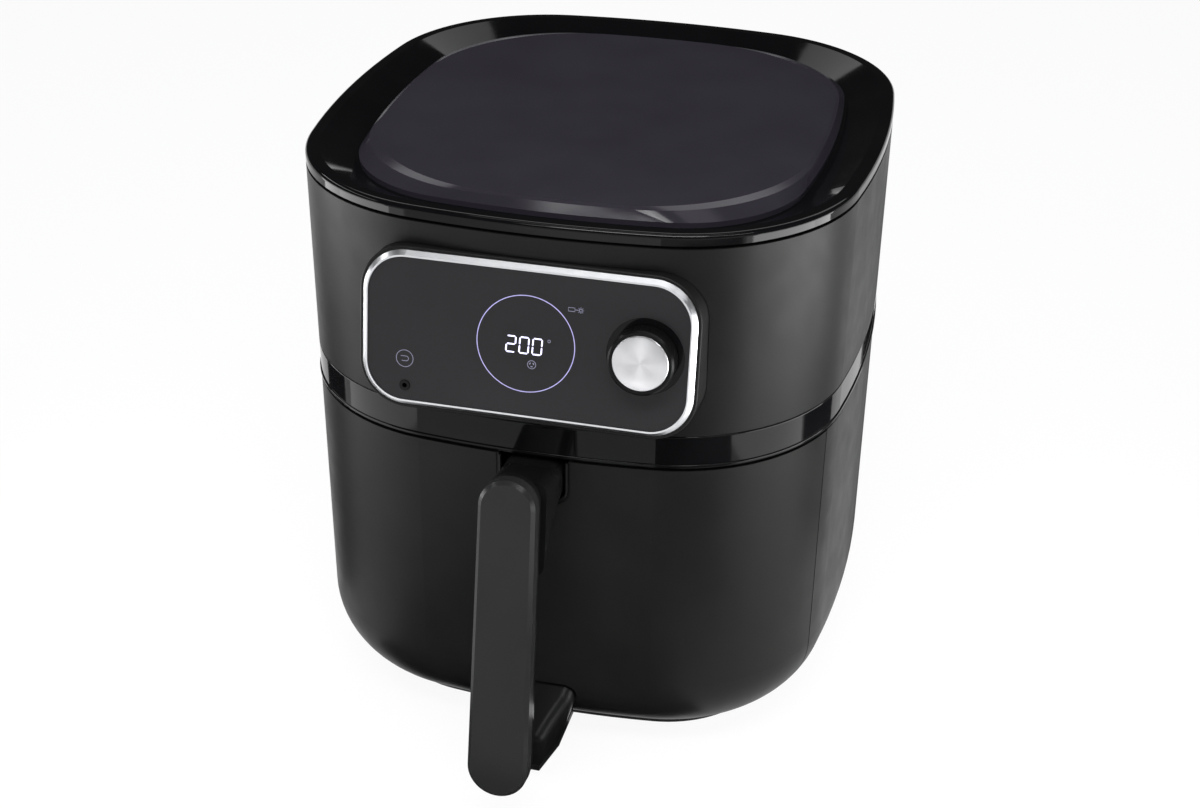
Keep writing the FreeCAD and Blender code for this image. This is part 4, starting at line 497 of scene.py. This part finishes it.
def make_world():
    """White for the camera, a white horizon under a dark sky for gloss, and a dim even fill for the rest."""
    world = bpy.data.worlds.new("studio")
    bpy.context.scene.world = world
    world.use_nodes = True
    tree = world.node_tree
    fill = tree.nodes["Background"]
    fill.inputs["Color"].default_value = (0.92, 0.94, 1.0, 1)
    fill.inputs["Strength"].default_value = FILL_STRENGTH
    spot = tree.nodes.new("ShaderNodeTexCoord")
    parts = tree.nodes.new("ShaderNodeSeparateXYZ")
    tree.links.new(spot.outputs["Generated"], parts.inputs["Vector"])
    fade = tree.nodes.new("ShaderNodeMapRange")
    fade.inputs["From Min"].default_value = HORIZON_LOW
    fade.inputs["From Max"].default_value = HORIZON_HIGH
    fade.inputs["To Min"].default_value = 1.0
    fade.inputs["To Max"].default_value = SKY_STRENGTH
    tree.links.new(parts.outputs["Z"], fade.inputs["Value"])
    rays = tree.nodes.new("ShaderNodeLightPath")
    seen = tree.nodes.new("ShaderNodeMath")
    seen.operation = "MAXIMUM"
    tree.links.new(fade.outputs["Result"], seen.inputs[0])
    tree.links.new(rays.outputs["Is Camera Ray"], seen.inputs[1])
    shown = tree.nodes.new("ShaderNodeBackground")
    shown.inputs["Color"].default_value = (1, 1, 1, 1)
    tree.links.new(seen.outputs["Value"], shown.inputs["Strength"])
    mix = tree.nodes.new("ShaderNodeMixShader")
    tree.links.new(background(tree), mix.inputs["Fac"])
    tree.links.new(fill.outputs["Background"], mix.inputs[1])
    tree.links.new(shown.outputs["Background"], mix.inputs[2])
    tree.links.new(mix.outputs["Shader"], tree.nodes["World Output"].inputs["Surface"])


def lamp(name, position, target, width, height, power):
    """A soft box aimed at a point."""
    data = bpy.data.lights.new(name, "AREA")
    data.shape = "RECTANGLE"
    data.size = width
    data.size_y = height
    data.energy = power
    piece = bpy.data.objects.new(name, data)
    bpy.context.scene.collection.objects.link(piece)
    piece.location = position
    piece.rotation_mode = "QUATERNION"
    piece.rotation_quaternion = (Vector(target) - Vector(position)).to_track_quat("-Z", "Y")
    piece.visible_camera = False


def dark_card(name, corners):
    """A black card on the floor, hidden from the camera, which shows in gloss and casts no shadow."""
    shape = bpy.data.meshes.new(name)
    shape.from_pydata([(x, y, CARD_LIFT) for x, y in corners], [], [(0, 1, 2, 3)])
    card = bpy.data.objects.new(name, shape)
    bpy.context.scene.collection.objects.link(card)
    made, _ = material(name, (0.01, 0.01, 0.01), 0.9, specular=0.0)
    shape.materials.append(made)
    card.visible_camera = False
    card.visible_diffuse = False
    card.visible_shadow = False


# the photograph's view, fitted to the body's outline and the panel, with the focal length in its pixels
CAMERA_AZIMUTH = math.radians(13.952)
CAMERA_ELEVATION = math.radians(28.902)
CAMERA_ROLL = math.radians(0.679)
CAMERA_DISTANCE = 1.23844
CAMERA_TARGET = Vector((-2.17, 29.68, 145.23)) * MM
CAMERA_FOCAL = 2021.35
PHOTO_WIDTH = 1200


def make_camera():
    """The camera at the photograph's viewing angle."""
    level = math.cos(CAMERA_ELEVATION)
    right = Vector((math.cos(CAMERA_AZIMUTH), math.sin(CAMERA_AZIMUTH), 0))
    back = Vector((right.y * level, -right.x * level, math.sin(CAMERA_ELEVATION)))
    up = back.cross(right)
    across = right * math.cos(CAMERA_ROLL) + up * math.sin(CAMERA_ROLL)
    upright = up * math.cos(CAMERA_ROLL) - right * math.sin(CAMERA_ROLL)
    data = bpy.data.cameras.new("camera")
    data.sensor_width = 36
    data.lens = CAMERA_FOCAL * data.sensor_width / PHOTO_WIDTH
    camera = bpy.data.objects.new("camera", data)
    bpy.context.scene.collection.objects.link(camera)
    turn = Matrix((across, upright, back)).transposed().to_4x4()
    camera.matrix_world = Matrix.Translation(CAMERA_TARGET + back * CAMERA_DISTANCE) @ turn
    bpy.context.scene.camera = camera


make_floor()
make_world()
MIDDLE = (0, 0.03, 0.2)
lamp("front_top", (0.15, -1.0, 1.6), MIDDLE, width=1.0, height=0.35, power=13)
lamp("front_bar", (0.2, -0.5, 0.85), (0.05, -0.12, 0.33), width=0.9, height=0.08, power=2.0)
lamp("left_bar", (-0.75, -0.1, 0.75), (-0.1, -0.08, 0.33), width=0.8, height=0.08, power=1.2)
lamp("overhead", (0, -0.1, 1.5), MIDDLE, width=0.9, height=0.5, power=2.2)
lamp("back_top", (0, 0.9, 1.2), MIDDLE, width=1.4, height=0.4, power=3.5)
lamp("floor_bar", (0.05, -0.83, 0.02), (0.02, -0.11, 0.33), width=1.0, height=0.1, power=0.2)
lamp("left_low", (-0.385, -0.262, 0.1), (-0.1, -0.11, 0.2), width=0.36, height=0.2, power=0.36)
lamp("left_high", (-0.47, -0.2, 0.2), (-0.1, -0.1, 0.28), width=0.45, height=0.16, power=1.1)
lamp("right_low", (0.437, -0.158, 0.1), (0.125, -0.095, 0.2), width=0.35, height=0.2, power=0.45)
lamp("right_high", (0.49, -0.1, 0.18), (0.13, -0.08, 0.28), width=0.45, height=0.18, power=2.2)
dark_card("left_card", [(-0.211, -0.028), (-0.737, 0.354), (-0.857, 0.015), (-0.215, -0.086)])
dark_card("front_card", [(0.08, -0.271), (0.137, -0.919), (0.736, -0.602), (0.224, -0.201)])
dark_card("right_card", [(0.327, -0.012), (0.799, 0.15), (0.579, 0.499), (0.271, 0.105)])
dark_card("back_card", [(0.165, 0.08), (0.3, 0.8), (0.16, 0.9), (0.13, 0.15)])
# painted shadow: a dark card where the body's shadow falls on the floor just in front, which only the gloss
# of the lower front, foot and grip sees, as shade
dark_card("painted_shadow_card", [(-0.18, -0.3), (0.1, -0.3), (0.1, -0.1), (-0.14, -0.1)])
make_camera()
bpy.context.scene.view_settings.view_transform = "Standard"
